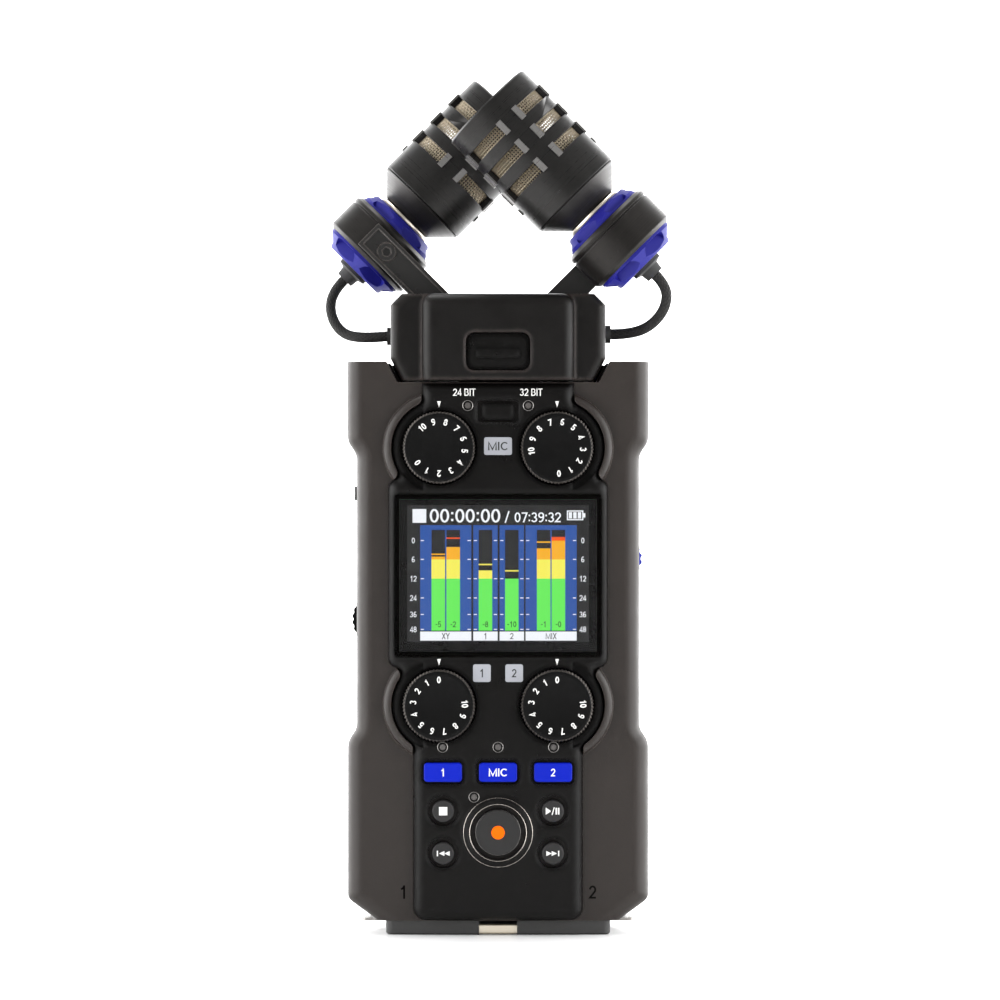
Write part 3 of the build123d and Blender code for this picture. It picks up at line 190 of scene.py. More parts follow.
def mic_place(tree):
    """Distances along and from the axis of whichever microphone the point is on, in metres."""
    split = add_node(tree, "ShaderNodeSeparateXYZ", {0: place(tree)}).outputs
    rear = math_node(tree, "GREATER_THAN", split["Y"], 0.0)
    sign = math_node(tree, "SUBTRACT", 1.0, math_node(tree, "MULTIPLY", rear, 2.0))
    right = math_node(tree, "MULTIPLY", split["X"], sign)
    depth = math_node(tree, "SUBTRACT", math_node(tree, "ABSOLUTE", split["Y"]), MIC_OFFSET.y)
    east = math_node(tree, "ADD", right, MIC_OFFSET.x)
    rise = math_node(tree, "SUBTRACT", split["Z"], MIC_OFFSET.z)
    along = math_node(tree, "MULTIPLY", math_node(tree, "SUBTRACT", east, rise), LEAN)
    across = math_node(tree, "MULTIPLY", math_node(tree, "ADD", east, rise), LEAN)
    across_squared = math_node(tree, "POWER", across, 2.0)
    depth_squared = math_node(tree, "POWER", depth, 2.0)
    squares = math_node(tree, "ADD", across_squared, depth_squared)
    return along, math_node(tree, "SQRT", squares)


def turned_metal(name, colour, roughness, pitch, depth, proud_radius=None, edge=0.0002):
    """Black anodised metal turned on a lathe: fine rings about the axis, greyer where it stands proud."""
    material, tree, shader = new_material(name)
    along, radius = mic_place(tree)
    lines = {"W": math_node(tree, "MULTIPLY", along, 1 / pitch), "Scale": 1.0, "Detail": 3.0}
    rings = add_node(tree, "ShaderNodeTexNoise", lines, noise_dimensions="1D").outputs["Fac"]
    broken = math_node(tree, "ADD", rings, math_node(tree, "MULTIPLY", noise(tree, 0.0015), 0.35))
    tone = blend_colours(tree, broken, [c * 0.7 for c in colour], [c * 1.3 for c in colour])
    if proud_radius:
        proud = math_node(tree, "GREATER_THAN", radius, proud_radius)
        mix = add_node(tree, "ShaderNodeMix", data_type="RGBA")
        tree.links.new(proud, mix.inputs["Factor"])
        tree.links.new(tone, mix.inputs["A"])
        mix.inputs["B"].default_value = (0.17, 0.165, 0.16, 1)
        tone = mix.outputs["Result"]
    tree.links.new(tone, shader.inputs["Base Color"])
    shader.inputs["Metallic"].default_value = 0.7
    tree.links.new(ramp(tree, broken, roughness - 0.06, roughness + 0.1), shader.inputs["Roughness"])
    bump(tree, shader, rings, depth, soft_edges(tree, edge))
    return material


def printed(name, colour, roughness=0.45, specular=0.5):
    """Screen-printed ink, slightly uneven."""
    material, tree, shader = new_material(name)
    tone = blend_colours(tree, noise(tree, 0.0004), [c * 0.88 for c in colour], colour)
    tree.links.new(tone, shader.inputs["Base Color"])
    shader.inputs["Roughness"].default_value = roughness
    shader.inputs["Specular IOR Level"].default_value = specular
    return material


def lit(name, colour, strength):
    """A lit part of the display: emission over a dark base, faintly uneven at about pixel size."""
    material, tree, shader = new_material(name)
    speckle = noise(tree, 0.00015, detail=0.0)
    tone = blend_colours(tree, speckle, [c * 0.93 for c in colour], colour)
    shader.inputs["Base Color"].default_value = (0.002, 0.002, 0.002, 1)
    shader.inputs["Roughness"].default_value = 0.35
    tree.links.new(tone, shader.inputs["Emission Color"])
    shader.inputs["Emission Strength"].default_value = strength
    return material


# ---- Materials ----

# lighter casing edges: wear and painted highlight
casing = moulded("casing_paint", (0.0165, 0.0122, 0.0101), 0.40, specular=0.34,
                 edge=0.0004, wear_and_highlight=(0.09, 0.072, 0.062))
face = moulded("face_plastic", (0.0026, 0.0023, 0.0021), 0.3, grain=0.0005, depth=0.000008,
              specular=0.14, edge=0.0022)
knob_grip = metal("knob_grip", (0.055, 0.050, 0.046), 0.42)
knob_plastic = moulded("knob_plastic", (0.0025, 0.0025, 0.0025), 0.34, grain=0.0003, depth=0.000006,
                      specular=0.1)
dark_key = moulded("dark_key_plastic", (0.014, 0.0135, 0.0135), 0.42, grain=0.0003, depth=0.000008,
                  specular=0.3)
blue_key = moulded("blue_key_plastic", (0.0002, 0.010, 0.36), 0.33, grain=0.0004, depth=0.000006,
                  spread=0.08, specular=0.15)
blue_wheel = moulded("blue_wheel_plastic", (0.006, 0.02, 0.42), 0.4, grain=0.0004, depth=0.000008)
elastomer = moulded("blue_elastomer", (0.009, 0.009, 0.17), 0.46, grain=0.0003, depth=0.00001,
                    spread=0.1, specular=0.22)
# near black and matte, for the lips in the gap of the dock: painted shade
gap_shade_lip = moulded("gap_shade_lip", (0.002, 0.002, 0.002), 0.9, specular=0.02)
black_rubber = moulded("black_rubber", (0.02, 0.0195, 0.019), 0.62, grain=0.0003, depth=0.00001)
# lighter module shell edges: wear and painted highlight
module_shell = moulded("module_shell_paint", (0.0045, 0.0040, 0.0037), 0.32, specular=0.17,
                       edge=0.0016, wear_and_highlight=(0.07, 0.055, 0.05))
inner_plastic = moulded("inner_plastic", (0.03, 0.03, 0.03), 0.55)
speaker_cone = moulded("speaker_cone", (0.02, 0.02, 0.02), 0.8)
cell_sleeve = moulded("cell_sleeve", (0.05, 0.10, 0.06), 0.3, coat=0.4)
lcd_black = moulded("lcd_black", (0.001, 0.001, 0.001), 0.25, depth=0.000002, specular=0.15)
pipe_plastic = moulded("light_pipe_plastic", (0.055, 0.050, 0.047), 0.25, coat=0.4)
lamp_orange = moulded("lamp_orange", (1.0, 0.13, 0.0), 0.35, spread=0.06, specular=0.1)

steel = metal("steel", (0.40, 0.385, 0.365), 0.3)
# bright metal for the rings round the record key: painted highlight on their rounded edges
highlight_metal = metal("highlight_metal", (0.60, 0.55, 0.50), 0.25)
dark_trim = metal("dark_trim", (0.25, 0.24, 0.23), 0.3)
# lighter edges on the arms and their screws: wear and painted highlight
arm_paint = moulded("arm_paint", (0.0065, 0.0058, 0.0052), 0.28, specular=0.5, edge=0.0004,
                    wear_and_highlight=(0.26, 0.23, 0.21))
dark_metal = metal("dark_metal", (0.055, 0.048, 0.044), 0.36)
mesh_wire = metal("mesh_wire", (0.42, 0.36, 0.27), 0.56)
neck_cream = metal("neck_cream", (0.86, 0.78, 0.64), 0.38, size=0.002, depth=0.0000005)
barrel_metal = turned_metal("barrel_metal", (0.015, 0.0142, 0.0136), 0.27, 0.00022, 0.000008,
                            proud_radius=0.01306)
cone_metal = turned_metal("cone_metal", (0.020, 0.0185, 0.0178), 0.30, 0.00045, 0.00003)
collar_metal = turned_metal("collar_metal", (0.013, 0.0115, 0.0105), 0.30, 0.0003, 0.000006, edge=0.0004)

ink_white = printed("ink_white", (0.80, 0.80, 0.78))
ink_grey = printed("ink_grey", (0.31, 0.32, 0.35))
ink_black = printed("ink_black", (0.012, 0.012, 0.012))
# near-black matte print for the debossed numbers on the casing: painted shade of their recesses
deboss_shade = printed("deboss_shade", (0.001, 0.0009, 0.0008), 0.8, specular=0.02)
lit_white = lit("lit_white", (0.92, 0.95, 1.0), 1.0)
lit_green = lit("lit_green", (0.14, 0.95, 0.10), 0.9)
lit_yellow = lit("lit_yellow", (1.0, 0.92, 0.10), 0.95)
lit_orange = lit("lit_orange", (1.0, 0.46, 0.0), 0.95)
lit_red = lit("lit_red", (1.0, 0.09, 0.0), 0.95)
lit_blue = lit("lit_blue", (0.012, 0.085, 0.40), 0.9)
lit_black = lit("lit_black", (0.004, 0.005, 0.008), 0.2)


def braided(name, colour, pitch):
    """Black woven sleeve: threads lighter and darker by noise of that pitch, with a trace of sheen."""
    material, tree, shader = new_material(name)
    threads = noise(tree, pitch, detail=2.0)
    tone = blend_colours(tree, threads, [c * 0.4 for c in colour], [c * 3.0 for c in colour])
    tree.links.new(tone, shader.inputs["Base Color"])
    shader.inputs["Roughness"].default_value = 0.55
    shader.inputs["Specular IOR Level"].default_value = 0.25
    shader.inputs["Sheen Weight"].default_value = 0.04
    shader.inputs["Sheen Roughness"].default_value = 0.4
    bump(tree, shader, threads, 0.00001)
    return material


def clear_glass(name):
    """Anti-reflection cover glass: clear, thin, with a trace of dust in the gloss."""
    material, tree, shader = new_material(name)
    shader.inputs["Base Color"].default_value = (1, 1, 1, 1)
    shader.inputs["Transmission Weight"].default_value = 1.0
    shader.inputs["IOR"].default_value = 1.2
    tree.links.new(ramp(tree, noise(tree, 0.003), 0.0, 0.03), shader.inputs["Roughness"])
    return material


def circuit_board(name):
    """Green solder mask with paler tracks."""
    material, tree, shader = new_material(name)
    cells = {"Vector": place(tree), "Scale": 1 / 0.003}
    tracks = add_node(tree, "ShaderNodeTexVoronoi", cells, distance="MANHATTAN")
    tone = blend_colours(tree, tracks.outputs["Distance"], (0.004, 0.05, 0.02), (0.01, 0.12, 0.05))
    tree.links.new(tone, shader.inputs["Base Color"])
    shader.inputs["Roughness"].default_value = 0.3
    return material


braid = braided("braid", (0.006, 0.0057, 0.0055), 0.0005)
glass = clear_glass("cover_glass")
board = circuit_board("circuit_board")

NODE_MATERIALS = {
    casing: ("front_casing", "rear_casing", "battery_door", "card_door"),
    module_shell: ("module_front", "module_rear"),
    face: ("faceplate", "release_button", "mode_key"),
    glass: ("display_glass",),
    lcd_black: ("lcd_module",),
    pipe_plastic: ("light_pipes",),
    lamp_orange: ("record_lamp",),
    blue_key: ("track_1_key", "mic_key", "track_2_key"),
    dark_key: ("stop_key", "play_key", "rewind_key", "forward_key", "record_key", "power_switch"),
    knob_plastic: ("input_knob_1", "input_knob_2", "mic_knob_left", "mic_knob_right", "volume_wheel"),
    blue_wheel: ("selector_wheel",),
    elastomer: ("shock_mounts",),
    black_rubber: ("lead_glands", "foot_panel"),
    braid: ("lead_left", "lead_right"),
    inner_plastic: ("battery_tray", "card_socket", "dock_socket", "tact_switches", "combo_sockets",
                    "audio_jacks"),
    speaker_cone: ("speaker",),
    cell_sleeve: ("battery_cells",),
    board: ("main_board", "module_board"),
    steel: ("casing_screws", "tripod_bush", "release_tab_1", "release_tab_2",
            "rotary_controls", "data_port", "battery_contacts"),
    neck_cream: ("strap_bar",),
    dark_metal: ("nose_grilles", "capsules", "module_plug"),
    barrel_metal: ("barrels",),
    cone_metal: ("mic_tails",),
    collar_metal: ("collars",),
    arm_paint: ("arms", "module_screws"),
    mesh_wire: ("mesh_sleeves",),
}
for material, names in NODE_MATERIALS.items():
    for name in names:
        mesh = nodes[name].data
        mesh.materials.clear()
        mesh.materials.append(material)


# ---- Mesh helpers ----

def make_piece(name, build, materials, body, smooth_angle=35, solid=True):
    """A new piece from a bmesh, riding on a CAD body, with its faces shaded smooth up to an angle."""
    if solid:
        bmesh.ops.recalc_face_normals(build, faces=build.faces)
    mesh = bpy.data.meshes.new(name)
    build.to_mesh(mesh)
    build.free()
    for material in materials:
        mesh.materials.append(material)
    if smooth_angle:
        mesh.shade_smooth()
        mesh.set_sharp_from_angle(angle=math.radians(smooth_angle))
    piece = bpy.data.objects.new(name, mesh)
    scene.collection.objects.link(piece)
    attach(piece, body)
    return piece


def lathe(build, origin, axis, profile, segments, relief=None, closed=True):
    """Turns (along, radius) points about an axis; relief(turn, index) is taken off the radius."""
    axis = Vector(axis).normalized()
    side = axis.orthogonal().normalized()
    other = axis.cross(side)
    rings = []
    for index, (along, radius) in enumerate(profile):
        ring = []
        for step in range(segments):
            turn = 2 * math.pi * step / segments
            here = radius - (relief(turn, index) if relief else 0)
            spoke = side * math.cos(turn) + other * math.sin(turn)
            ring.append(build.verts.new(origin + axis * along + spoke * here))
        rings.append(ring)
    following = rings[1:] + rings[:1] if closed else rings[1:]
    for lower, upper in zip(rings, following):
        for step in range(segments):
            after = (step + 1) % segments
            build.faces.new((lower[step], lower[after], upper[after], upper[step]))


def arc(x, z, across, up, start, end, steps=12):
    """Points on part of an ellipse, from one angle in degrees to another."""
    turns = [math.radians(start + (end - start) * step / steps) for step in range(steps + 1)]
    return [(x + across * math.cos(turn), z + up * math.sin(turn)) for turn in turns]


# Strokes of each character on a capital height of 1, after the width that it takes
GLYPHS = {
    "0": (0.60, [arc(0.3, 0.5, 0.2, 0.42, 90, 450, 24)]),
    "1": (0.60, [[(0.12, 0.72), (0.24, 0.77), (0.35, 0.93)], [(0.35, 1.0), (0.35, 0.0)]]),
    "2": (0.60, [arc(0.3, 0.68, 0.2, 0.24, 175, -35) + [(0.1, 0.08), (0.54, 0.08)]]),
    "3": (0.60, [arc(0.28, 0.71, 0.18, 0.21, 160, -90), arc(0.28, 0.29, 0.21, 0.21, 90, -160)]),
    "4": (0.60, [[(0.43, 0.0), (0.43, 0.92), (0.08, 0.27), (0.57, 0.27)]]),
    "5": (0.60, [[(0.52, 0.92), (0.17, 0.92), (0.12, 0.46)] + arc(0.3, 0.33, 0.21, 0.25, 140, -155)]),
    "6": (0.60, [arc(0.3, 0.3, 0.2, 0.22, 180, 540, 20), arc(0.36, 0.42, 0.26, 0.5, 65, 195)]),
    "7": (0.60, [[(0.06, 0.92), (0.52, 0.92), (0.22, 0.0)]]),
    "8": (0.60, [arc(0.3, 0.72, 0.17, 0.2, -90, 270, 20), arc(0.3, 0.29, 0.21, 0.21, 90, 450, 20)]),
    "9": (0.60, [arc(0.3, 0.7, 0.2, 0.22, 0, 360, 20), arc(0.24, 0.58, 0.26, 0.5, -115, 15)]),
    "B": (0.66, [[(0.1, 0.5), (0.1, 0.92), (0.34, 0.92)]
                 + arc(0.34, 0.71, 0.17, 0.21, 80, -90) + [(0.1, 0.5)],
                 [(0.1, 0.5), (0.36, 0.5)]
                 + arc(0.36, 0.29, 0.2, 0.21, 80, -90) + [(0.1, 0.08), (0.1, 0.5)]]),
    "C": (0.74, [arc(0.4, 0.5, 0.3, 0.42, 42, 318, 20)]),
    "I": (0.28, [[(0.14, 0.0), (0.14, 1.0)]]),
    "L": (0.58, [[(0.1, 1.0), (0.1, 0.08), (0.54, 0.08)]]),
    "M": (0.86, [[(0.1, 0.0), (0.1, 0.94), (0.43, 0.1), (0.76, 0.94), (0.76, 0.0)]]),
    "R": (0.68, [[(0.1, 0.0), (0.1, 0.92), (0.38, 0.92)]
                 + arc(0.38, 0.7, 0.18, 0.22, 80, -90) + [(0.1, 0.48)],
                 [(0.36, 0.48), (0.58, 0.0)]]),
    "T": (0.60, [[(0.02, 0.92), (0.58, 0.92)], [(0.3, 0.92), (0.3, 0.0)]]),
    "X": (0.66, [[(0.08, 0.0), (0.58, 1.0)], [(0.08, 1.0), (0.58, 0.0)]]),
    "Y": (0.64, [[(0.06, 1.0), (0.32, 0.46), (0.58, 1.0)], [(0.32, 0.5), (0.32, 0.0)]]),
    ":": (0.28, [[(0.14, 0.12), (0.14, 0.28)], [(0.14, 0.6), (0.14, 0.76)]]),
    "/": (0.40, [[(0.04, 0.0), (0.36, 1.0)]]),
    "-": (0.40, [[(0.06, 0.45), (0.34, 0.45)]]),
    " ": (0.32, []),
}
# Stroke widths as a share of the capital height
LIGHT = 0.12
MEDIUM = 0.13
STRONG = 0.14
BOLD = 0.17


def ribbon(points, width):
    """Left and right edge points of a stroke of that width, with mitred joins."""
    left, right = [], []
    for index, (x, z) in enumerate(points):
        before = points[max(index - 1, 0)]
        after = points[min(index + 1, len(points) - 1)]
        run_in = Vector((x - before[0], z - before[1])).normalized() if index else None
        run_out = Vector((after[0] - x, after[1] - z)).normalized() if index < len(points) - 1 else None
        run_in, run_out = run_in or run_out, run_out or run_in
        along = (run_in + run_out).normalized()
        reach = width / 2 / max(along.dot(run_in), 0.45)
        side = Vector((-along.y, along.x)) * reach
        left.append((x + side.x, z + side.y))
        right.append((x - side.x, z - side.y))
    return left, right


class Print:
    """Thin shapes on a plane that faces the front, drawn in millimetres in X and Z, made into one piece."""

    def __init__(self, y):
        self.y = y * MM
        self.build = bmesh.new()
        self.materials = []

    def index(self, material):
        """The slot of a material, which gets the next one when it is new."""
        if material not in self.materials:
            self.materials.append(material)
        return self.materials.index(material)

    def polygon(self, points, material, lift=0.0):
        """A flat polygon of (x, z) points, lifted towards the front."""
        y = self.y - lift * MM
        corners = [self.build.verts.new((x * MM, y, z * MM)) for x, z in points]
        self.build.faces.new(corners).material_index = self.index(material)

    def rectangle(self, x, z, width, height, material, lift=0.0, radius=0.0):
        """A rectangle about its centre, with rounded corners where a radius is given."""
        points = []
        for turn in range(4):
            across, up = ((1, 1), (-1, 1), (-1, -1), (1, -1))[turn]
            corner = (x + across * (width / 2 - radius), z + up * (height / 2 - radius))
            steps = 4 if radius else 0
            for step in range(steps + 1):
                angle = math.radians(90 * (turn + (step / steps if steps else 0)))
                points.append((corner[0] + radius * math.cos(angle), corner[1] + radius * math.sin(angle)))
        self.polygon(points, material, lift)

    def outline(self, x, z, width, height, line, material, lift=0.0):
        """A thin rectangular frame."""
        for up in (-1, 1):
            self.rectangle(x, z + up * (height - line) / 2, width, line, material, lift)
            self.rectangle(x + up * (width - line) / 2, z, line, height - 2 * line, material, lift)

    def text(self, x, z, words, height, material, turn=0.0, weight=MEDIUM, lift=0.0, stretch=1.0):
        """Words centred on a point, with capitals of that height, turned counter-clockwise by degrees."""
        angle = math.radians(turn)
        cursor = -sum(GLYPHS[letter][0] for letter in words) / 2
        for letter in words:
            advance, strokes = GLYPHS[letter]
            for stroke in strokes:
                edges = ribbon([(px + cursor, pz - 0.5) for px, pz in stroke], weight)
                rows = []
                for edge in edges:
                    row = []
                    for px, pz in edge:
                        across, up = px * height * stretch, pz * height
                        row.append((x + across * math.cos(angle) - up * math.sin(angle),
                                    z + across * math.sin(angle) + up * math.cos(angle)))
                    rows.append(row)
                left, right = rows
                for index in range(len(left) - 1):
                    corners = (left[index], right[index], right[index + 1], left[index + 1])
                    self.polygon(corners, material, lift)
            cursor += advance

    def finish(self, name, body, slot, thickness=0.01):
        """Makes the piece, with its shapes facing the front and given their thickness."""
        self.build.normal_update()
        for flat in self.build.faces:
            if flat.normal.y > 0:
                flat.normal_flip()
        piece = make_piece(name, self.build, self.materials, body, smooth_angle=0, solid=False)
        thicken = piece.modifiers.new("thickness", "SOLIDIFY")
        thicken.thickness = thickness * MM
        thicken.offset = 0
        return piece


# ---- Knobs ----

KNOB_TEETH = 64
KNOB_TOOTH = 0.32
KNOB_STEPS = 6
NOTCH_SLOPE = 2.6
# points of the knob's profile that lie on the skirt
SKIRT_POINTS = range(2, 6)
SKIRT_START = 1.15
SKIRT_END = 5.4
SHAFT_R = 2.9
TOP_INSET = 0.6
NUMBER_STEP = 27.45
NUMBER_RADIUS = 6.6
NUMBER_HEIGHT = 1.65
NUMBER_SINK = 0.04
KNOB_POINTS_AT = {"input_knob_1": 0.0, "input_knob_2": 0.0, "mic_knob_left": 8.55, "mic_knob_right": 6.42}


def knurl(turn, index):
    """Straight V-shaped notches on the skirt only."""
    if index not in SKIRT_POINTS:
        return 0.0
    phase = (turn * KNOB_TEETH / (2 * math.pi)) % 1.0
    return KNOB_TOOTH * MM * min(1.0, NOTCH_SLOPE * abs(phase - 0.5))


def knob_piece(node):
    """A dial knob: notched skirt, a step, a top with a rounded rim and a shallow dish, and its shaft."""
    low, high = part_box(node)
    skirt_r = (high.x - low.x) / 2
    depth = high.y - low.y
    centre = Vector(((low.x + high.x) / 2, low.y, (low.z + high.z) / 2))
    top_r = skirt_r - TOP_INSET * MM
    skirt_end = SKIRT_END * MM
    shaft_r = SHAFT_R * MM
    profile = [
        (depth, shaft_r), (skirt_end, shaft_r), (skirt_end, skirt_r), (SKIRT_START * MM, skirt_r),
        (0.95 * MM, skirt_r), (0.62 * MM, skirt_r - 0.40 * MM), (0.60 * MM, top_r), (0.25 * MM, top_r),
        (0.07 * MM, top_r - 0.12 * MM), (0, top_r - 0.4 * MM), (0, top_r - 1.0 * MM),
        (0.05 * MM, top_r - 1.2 * MM), (0.05 * MM, 0.05 * MM),
    ]
    build = bmesh.new()
    lathe(build, centre, (0, 1, 0), profile, KNOB_TEETH * KNOB_STEPS, relief=knurl, closed=False)
    ends = [edge for edge in build.edges if edge.is_boundary]
    bmesh.ops.holes_fill(build, edges=ends)
    for facet in build.faces:
        middle = facet.calc_center_median()
        distance = math.hypot(middle.x - centre.x, middle.z - centre.z)
        facet.material_index = 1 if distance > top_r + 0.05 * MM else 0
    piece = make_piece(node + "_cap", build, [knob_plastic, knob_grip], node, smooth_angle=28)
    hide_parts(node)
    numbers = Print(low.y / MM + NUMBER_SINK)
    for number in range(11):
        turn = (number - KNOB_POINTS_AT[node]) * NUMBER_STEP
        angle = math.radians(turn)
        x = centre.x / MM - NUMBER_RADIUS * math.sin(angle)
        z = centre.z / MM + NUMBER_RADIUS * math.cos(angle)
        numbers.text(x, z, str(number), NUMBER_HEIGHT, ink_white, turn=turn, weight=BOLD, lift=0.01)
    numbers.finish(node + "_numbers", node, "knob")


for node in KNOB_POINTS_AT:
    knob_piece(node)


# ---- Printing, rings and painted ring highlights on the face ----

def span(node):
    """Centre X, centre Z, width, height and front Y of a node, in millimetres."""
    low, high = (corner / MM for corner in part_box(node))
    return (low.x + high.x) / 2, (low.z + high.z) / 2, high.x - low.x, high.z - low.z, low.y


RING_STANDS_PROUD = 1.0
FACE_Y = span("faceplate")[4] + RING_STANDS_PROUD
KNOB_CENTRES = [span(node)[:2] for node in KNOB_POINTS_AT]
POINTER_RISE = 11.0
POINTER = (0.95, 1.6)

on_face = Print(FACE_Y)
for x, z in KNOB_CENTRES:
    half, tip = POINTER[0] / 2, z + POINTER_RISE - POINTER[1] / 2
    on_face.polygon([(x - half, tip + POINTER[1]), (x, tip), (x + half, tip + POINTER[1])], ink_white)

MODE_LEGENDS = [(-8.6, "24 BIT"), (8.4, "32 BIT")]
MODE_LEGEND_RISE = 4.9
mode_x, mode_z = span("mode_key")[:2]
for offset, words in MODE_LEGENDS:
    on_face.text(mode_x + offset, mode_z + MODE_LEGEND_RISE, words, 1.9, ink_white, weight=LIGHT)

upper_z = max(z for x, z in KNOB_CENTRES)
lower_z = min(z for x, z in KNOB_CENTRES)
BADGE_SIDE = 4.5
BADGE_X = 4.1
MIC_BADGE_WIDTH = 7.1
MIC_BADGE_RISE = 0.4
TRACK_BADGE_RISE = 8.2
BADGE_TEXT = 2.15
WIDE_WORDS = {"MIC": 1.3}
badges = [
    ("MIC", 0, upper_z + MIC_BADGE_RISE, MIC_BADGE_WIDTH),
    ("1", -BADGE_X, lower_z + TRACK_BADGE_RISE, BADGE_SIDE),
    ("2", BADGE_X, lower_z + TRACK_BADGE_RISE, BADGE_SIDE),
]
for words, x, z, width in badges:
    on_face.rectangle(x, z, width, BADGE_SIDE, ink_grey, radius=0.55)
    wide = WIDE_WORDS.get(words, 1.0)
    on_face.text(x, z, words, BADGE_TEXT, ink_black, weight=STRONG, lift=0.012, stretch=wide)
on_face.finish("face_printing", "recorder", "face")

CASE_FRONT_Y = -18.0
FOOT_MARK_Z = 10.9
FOOT_MARK_X = 24.1
FOOT_MARK_HEIGHT = 3.4
FOOT_MARK_DEPTH = 0.004
# The debossed numbers 1 and 2 are drawn as near-black print just in front of the casing: painted shade in
# place of their recesses.
foot_marks = Print(CASE_FRONT_Y - FOOT_MARK_DEPTH)
for x, words in ((-FOOT_MARK_X, "1"), (FOOT_MARK_X, "2")):
    foot_marks.text(x, FOOT_MARK_Z, words, FOOT_MARK_HEIGHT, deboss_shade)
foot_marks.finish("foot_marks", "recorder", "casing", thickness=FOOT_MARK_DEPTH)

for node, words in (("track_1_key", "1"), ("mic_key", "MIC"), ("track_2_key", "2")):
    x, z, _, _, y = span(node)
    legend = Print(y)
    legend.text(x, z, words, 2.0, ink_white, weight=STRONG, stretch=WIDE_WORDS.get(words, 1.0))
    legend.finish(node + "_legend", node, "blue_key")

stop_x, stop_z, _, _, key_y = span("stop_key")
symbols = {name: Print(key_y) for name in ("stop_key", "play_key", "rewind_key", "forward_key")}


def arrow(target, x, z, length, height, direction):
    """A triangle pointing along X."""
    back = x - direction * length / 2
    tip = (back + direction * length, z)
    target.polygon([(back, z + height / 2), tip, (back, z - height / 2)], ink_white)


symbols["stop_key"].rectangle(stop_x, stop_z, 2.1, 2.1, ink_white)
x, z = span("play_key")[:2]
arrow(symbols["play_key"], x - 1.15, z, 1.35, 1.8, 1)
slash = [(x - 0.35, z - 0.95), (x - 0.1, z - 0.95), (x + 0.45, z + 0.95), (x + 0.2, z + 0.95)]
symbols["play_key"].polygon(slash, ink_white)
for offset in (0.85, 1.45):
    symbols["play_key"].rectangle(x + offset, z, 0.38, 1.7, ink_white)
for name, direction in (("rewind_key", -1), ("forward_key", 1)):
    x, z = span(name)[:2]
    arrow(symbols[name], x - direction * 1.0, z, 1.35, 1.25, direction)
    arrow(symbols[name], x + direction * 0.35, z, 1.35, 1.25, direction)
    symbols[name].rectangle(x + direction * 1.45, z, 0.3, 1.4, ink_white)
for name, symbol in symbols.items():
    symbol.finish(name + "_symbol", name, "black_key")


def trim_ring(build, x, z, y, radius, thickness, sides=8, segments=64):
    """A thin round wire ring lying on the face."""
    profile = []
    for step in range(sides):
        turn = 2 * math.pi * step / sides
        profile.append((thickness * math.sin(turn) * MM, (radius + thickness * math.cos(turn)) * MM))
    lathe(build, Vector((x, y, z)) * MM, (0, 1, 0), profile, segments)


def islands(mesh, reach):
    """Centres of the groups of points of a mesh that stand within reach of each other, in millimetres."""
    groups = []
    for vertex in mesh.vertices:
        x, z = vertex.co.x / MM, vertex.co.z / MM
        near = [group for group in groups if math.hypot(x - group[0][0], z - group[0][1]) < reach]
        if near:
            near[0].append((x, z))
        else:
            groups.append([(x, z)])
    return [tuple((max(p[axis] for p in group) + min(p[axis] for p in group)) / 2 for axis in (0, 1))
            for group in groups]


LAMP_REACH = 2.6
# radius of each ring and of its wire
LAMP_RING = (1.28, 0.09)
RECORD_OUTER_RING = (8.75, 0.10)
RECORD_INNER_RING = (7.22, 0.07)
KEY_RING_WIRE = 0.06
KEY_RING_INSET = 0.1
KEY_RING_SINK = 0.2
INNER_RING_SINK = 0.04
rings = bmesh.new()
for x, z in islands(nodes["light_pipes"].data, LAMP_REACH):
    trim_ring(rings, x, z, FACE_Y, *LAMP_RING)
make_piece("lamp_rings", rings, [dark_trim], "recorder")

# Bright wire rings round the record key and a grey one on it lie where its rounded edges catch the light:
# painted highlights.
record_x, record_z, record_width, _, record_y = span("record_key")
ring_y = span("faceplate")[4]
record_highlights = bmesh.new()
trim_ring(record_highlights, record_x, record_z, FACE_Y, *RECORD_OUTER_RING, segments=96)
trim_ring(record_highlights, record_x, record_z, ring_y + INNER_RING_SINK, *RECORD_INNER_RING, segments=96)
make_piece("record_ring_highlights", record_highlights, [highlight_metal], "recorder")
key_ring_highlight = bmesh.new()
key_ring_r = record_width / 2 - KEY_RING_INSET
trim_ring(key_ring_highlight, record_x, record_z, record_y + KEY_RING_SINK, key_ring_r, KEY_RING_WIRE, segments=96)
make_piece("record_key_highlight", key_ring_highlight, [dark_trim], "record_key")


# ---- Display ----

SCREEN = (46.2, 34.8)
SCREEN_RISE = 0.5
BAR_TOP, BAR_FOOT = 11.1, -14.5
MARKS = {"0": 8.4, "6": 3.6, "12": -1.3, "24": -6.2, "36": -10.4, "48": -14.2}
ZONES = [(BAR_FOOT, MARKS["12"], lit_green), (MARKS["12"], MARKS["6"], lit_yellow),
         (MARKS["6"], MARKS["0"], lit_orange), (MARKS["0"], BAR_TOP, lit_red)]
BAR_WIDTH = 3.45
# each meter: centre across, level, held peak, both as heights on the screen, and its readout
METERS = [(-15.2, 4.3, 4.9, "5"), (-11.4, 6.75, 9.0, "2"), (-3.2, 0.8, 2.3, "8"),
          (3.5, -1.3, 0.7, "10"), (11.6, 6.4, 8.0, "1"), (15.35, 9.3, 8.5, "0")]
# each group of meters: centre across, width, and its label
GROUPS = [(-13.3, 13.0, "XY"), (-3.2, 6.2, "1"), (3.5, 6.2, "2"), (13.5, 13.0, "MIX")]
LABEL_Z = -15.9
GROUP_TOP = 12.3
READOUT_Z = -12.9
MARK_X = 21.55
MARK_HEIGHT = 1.5
BATTERY_Z = 14.8

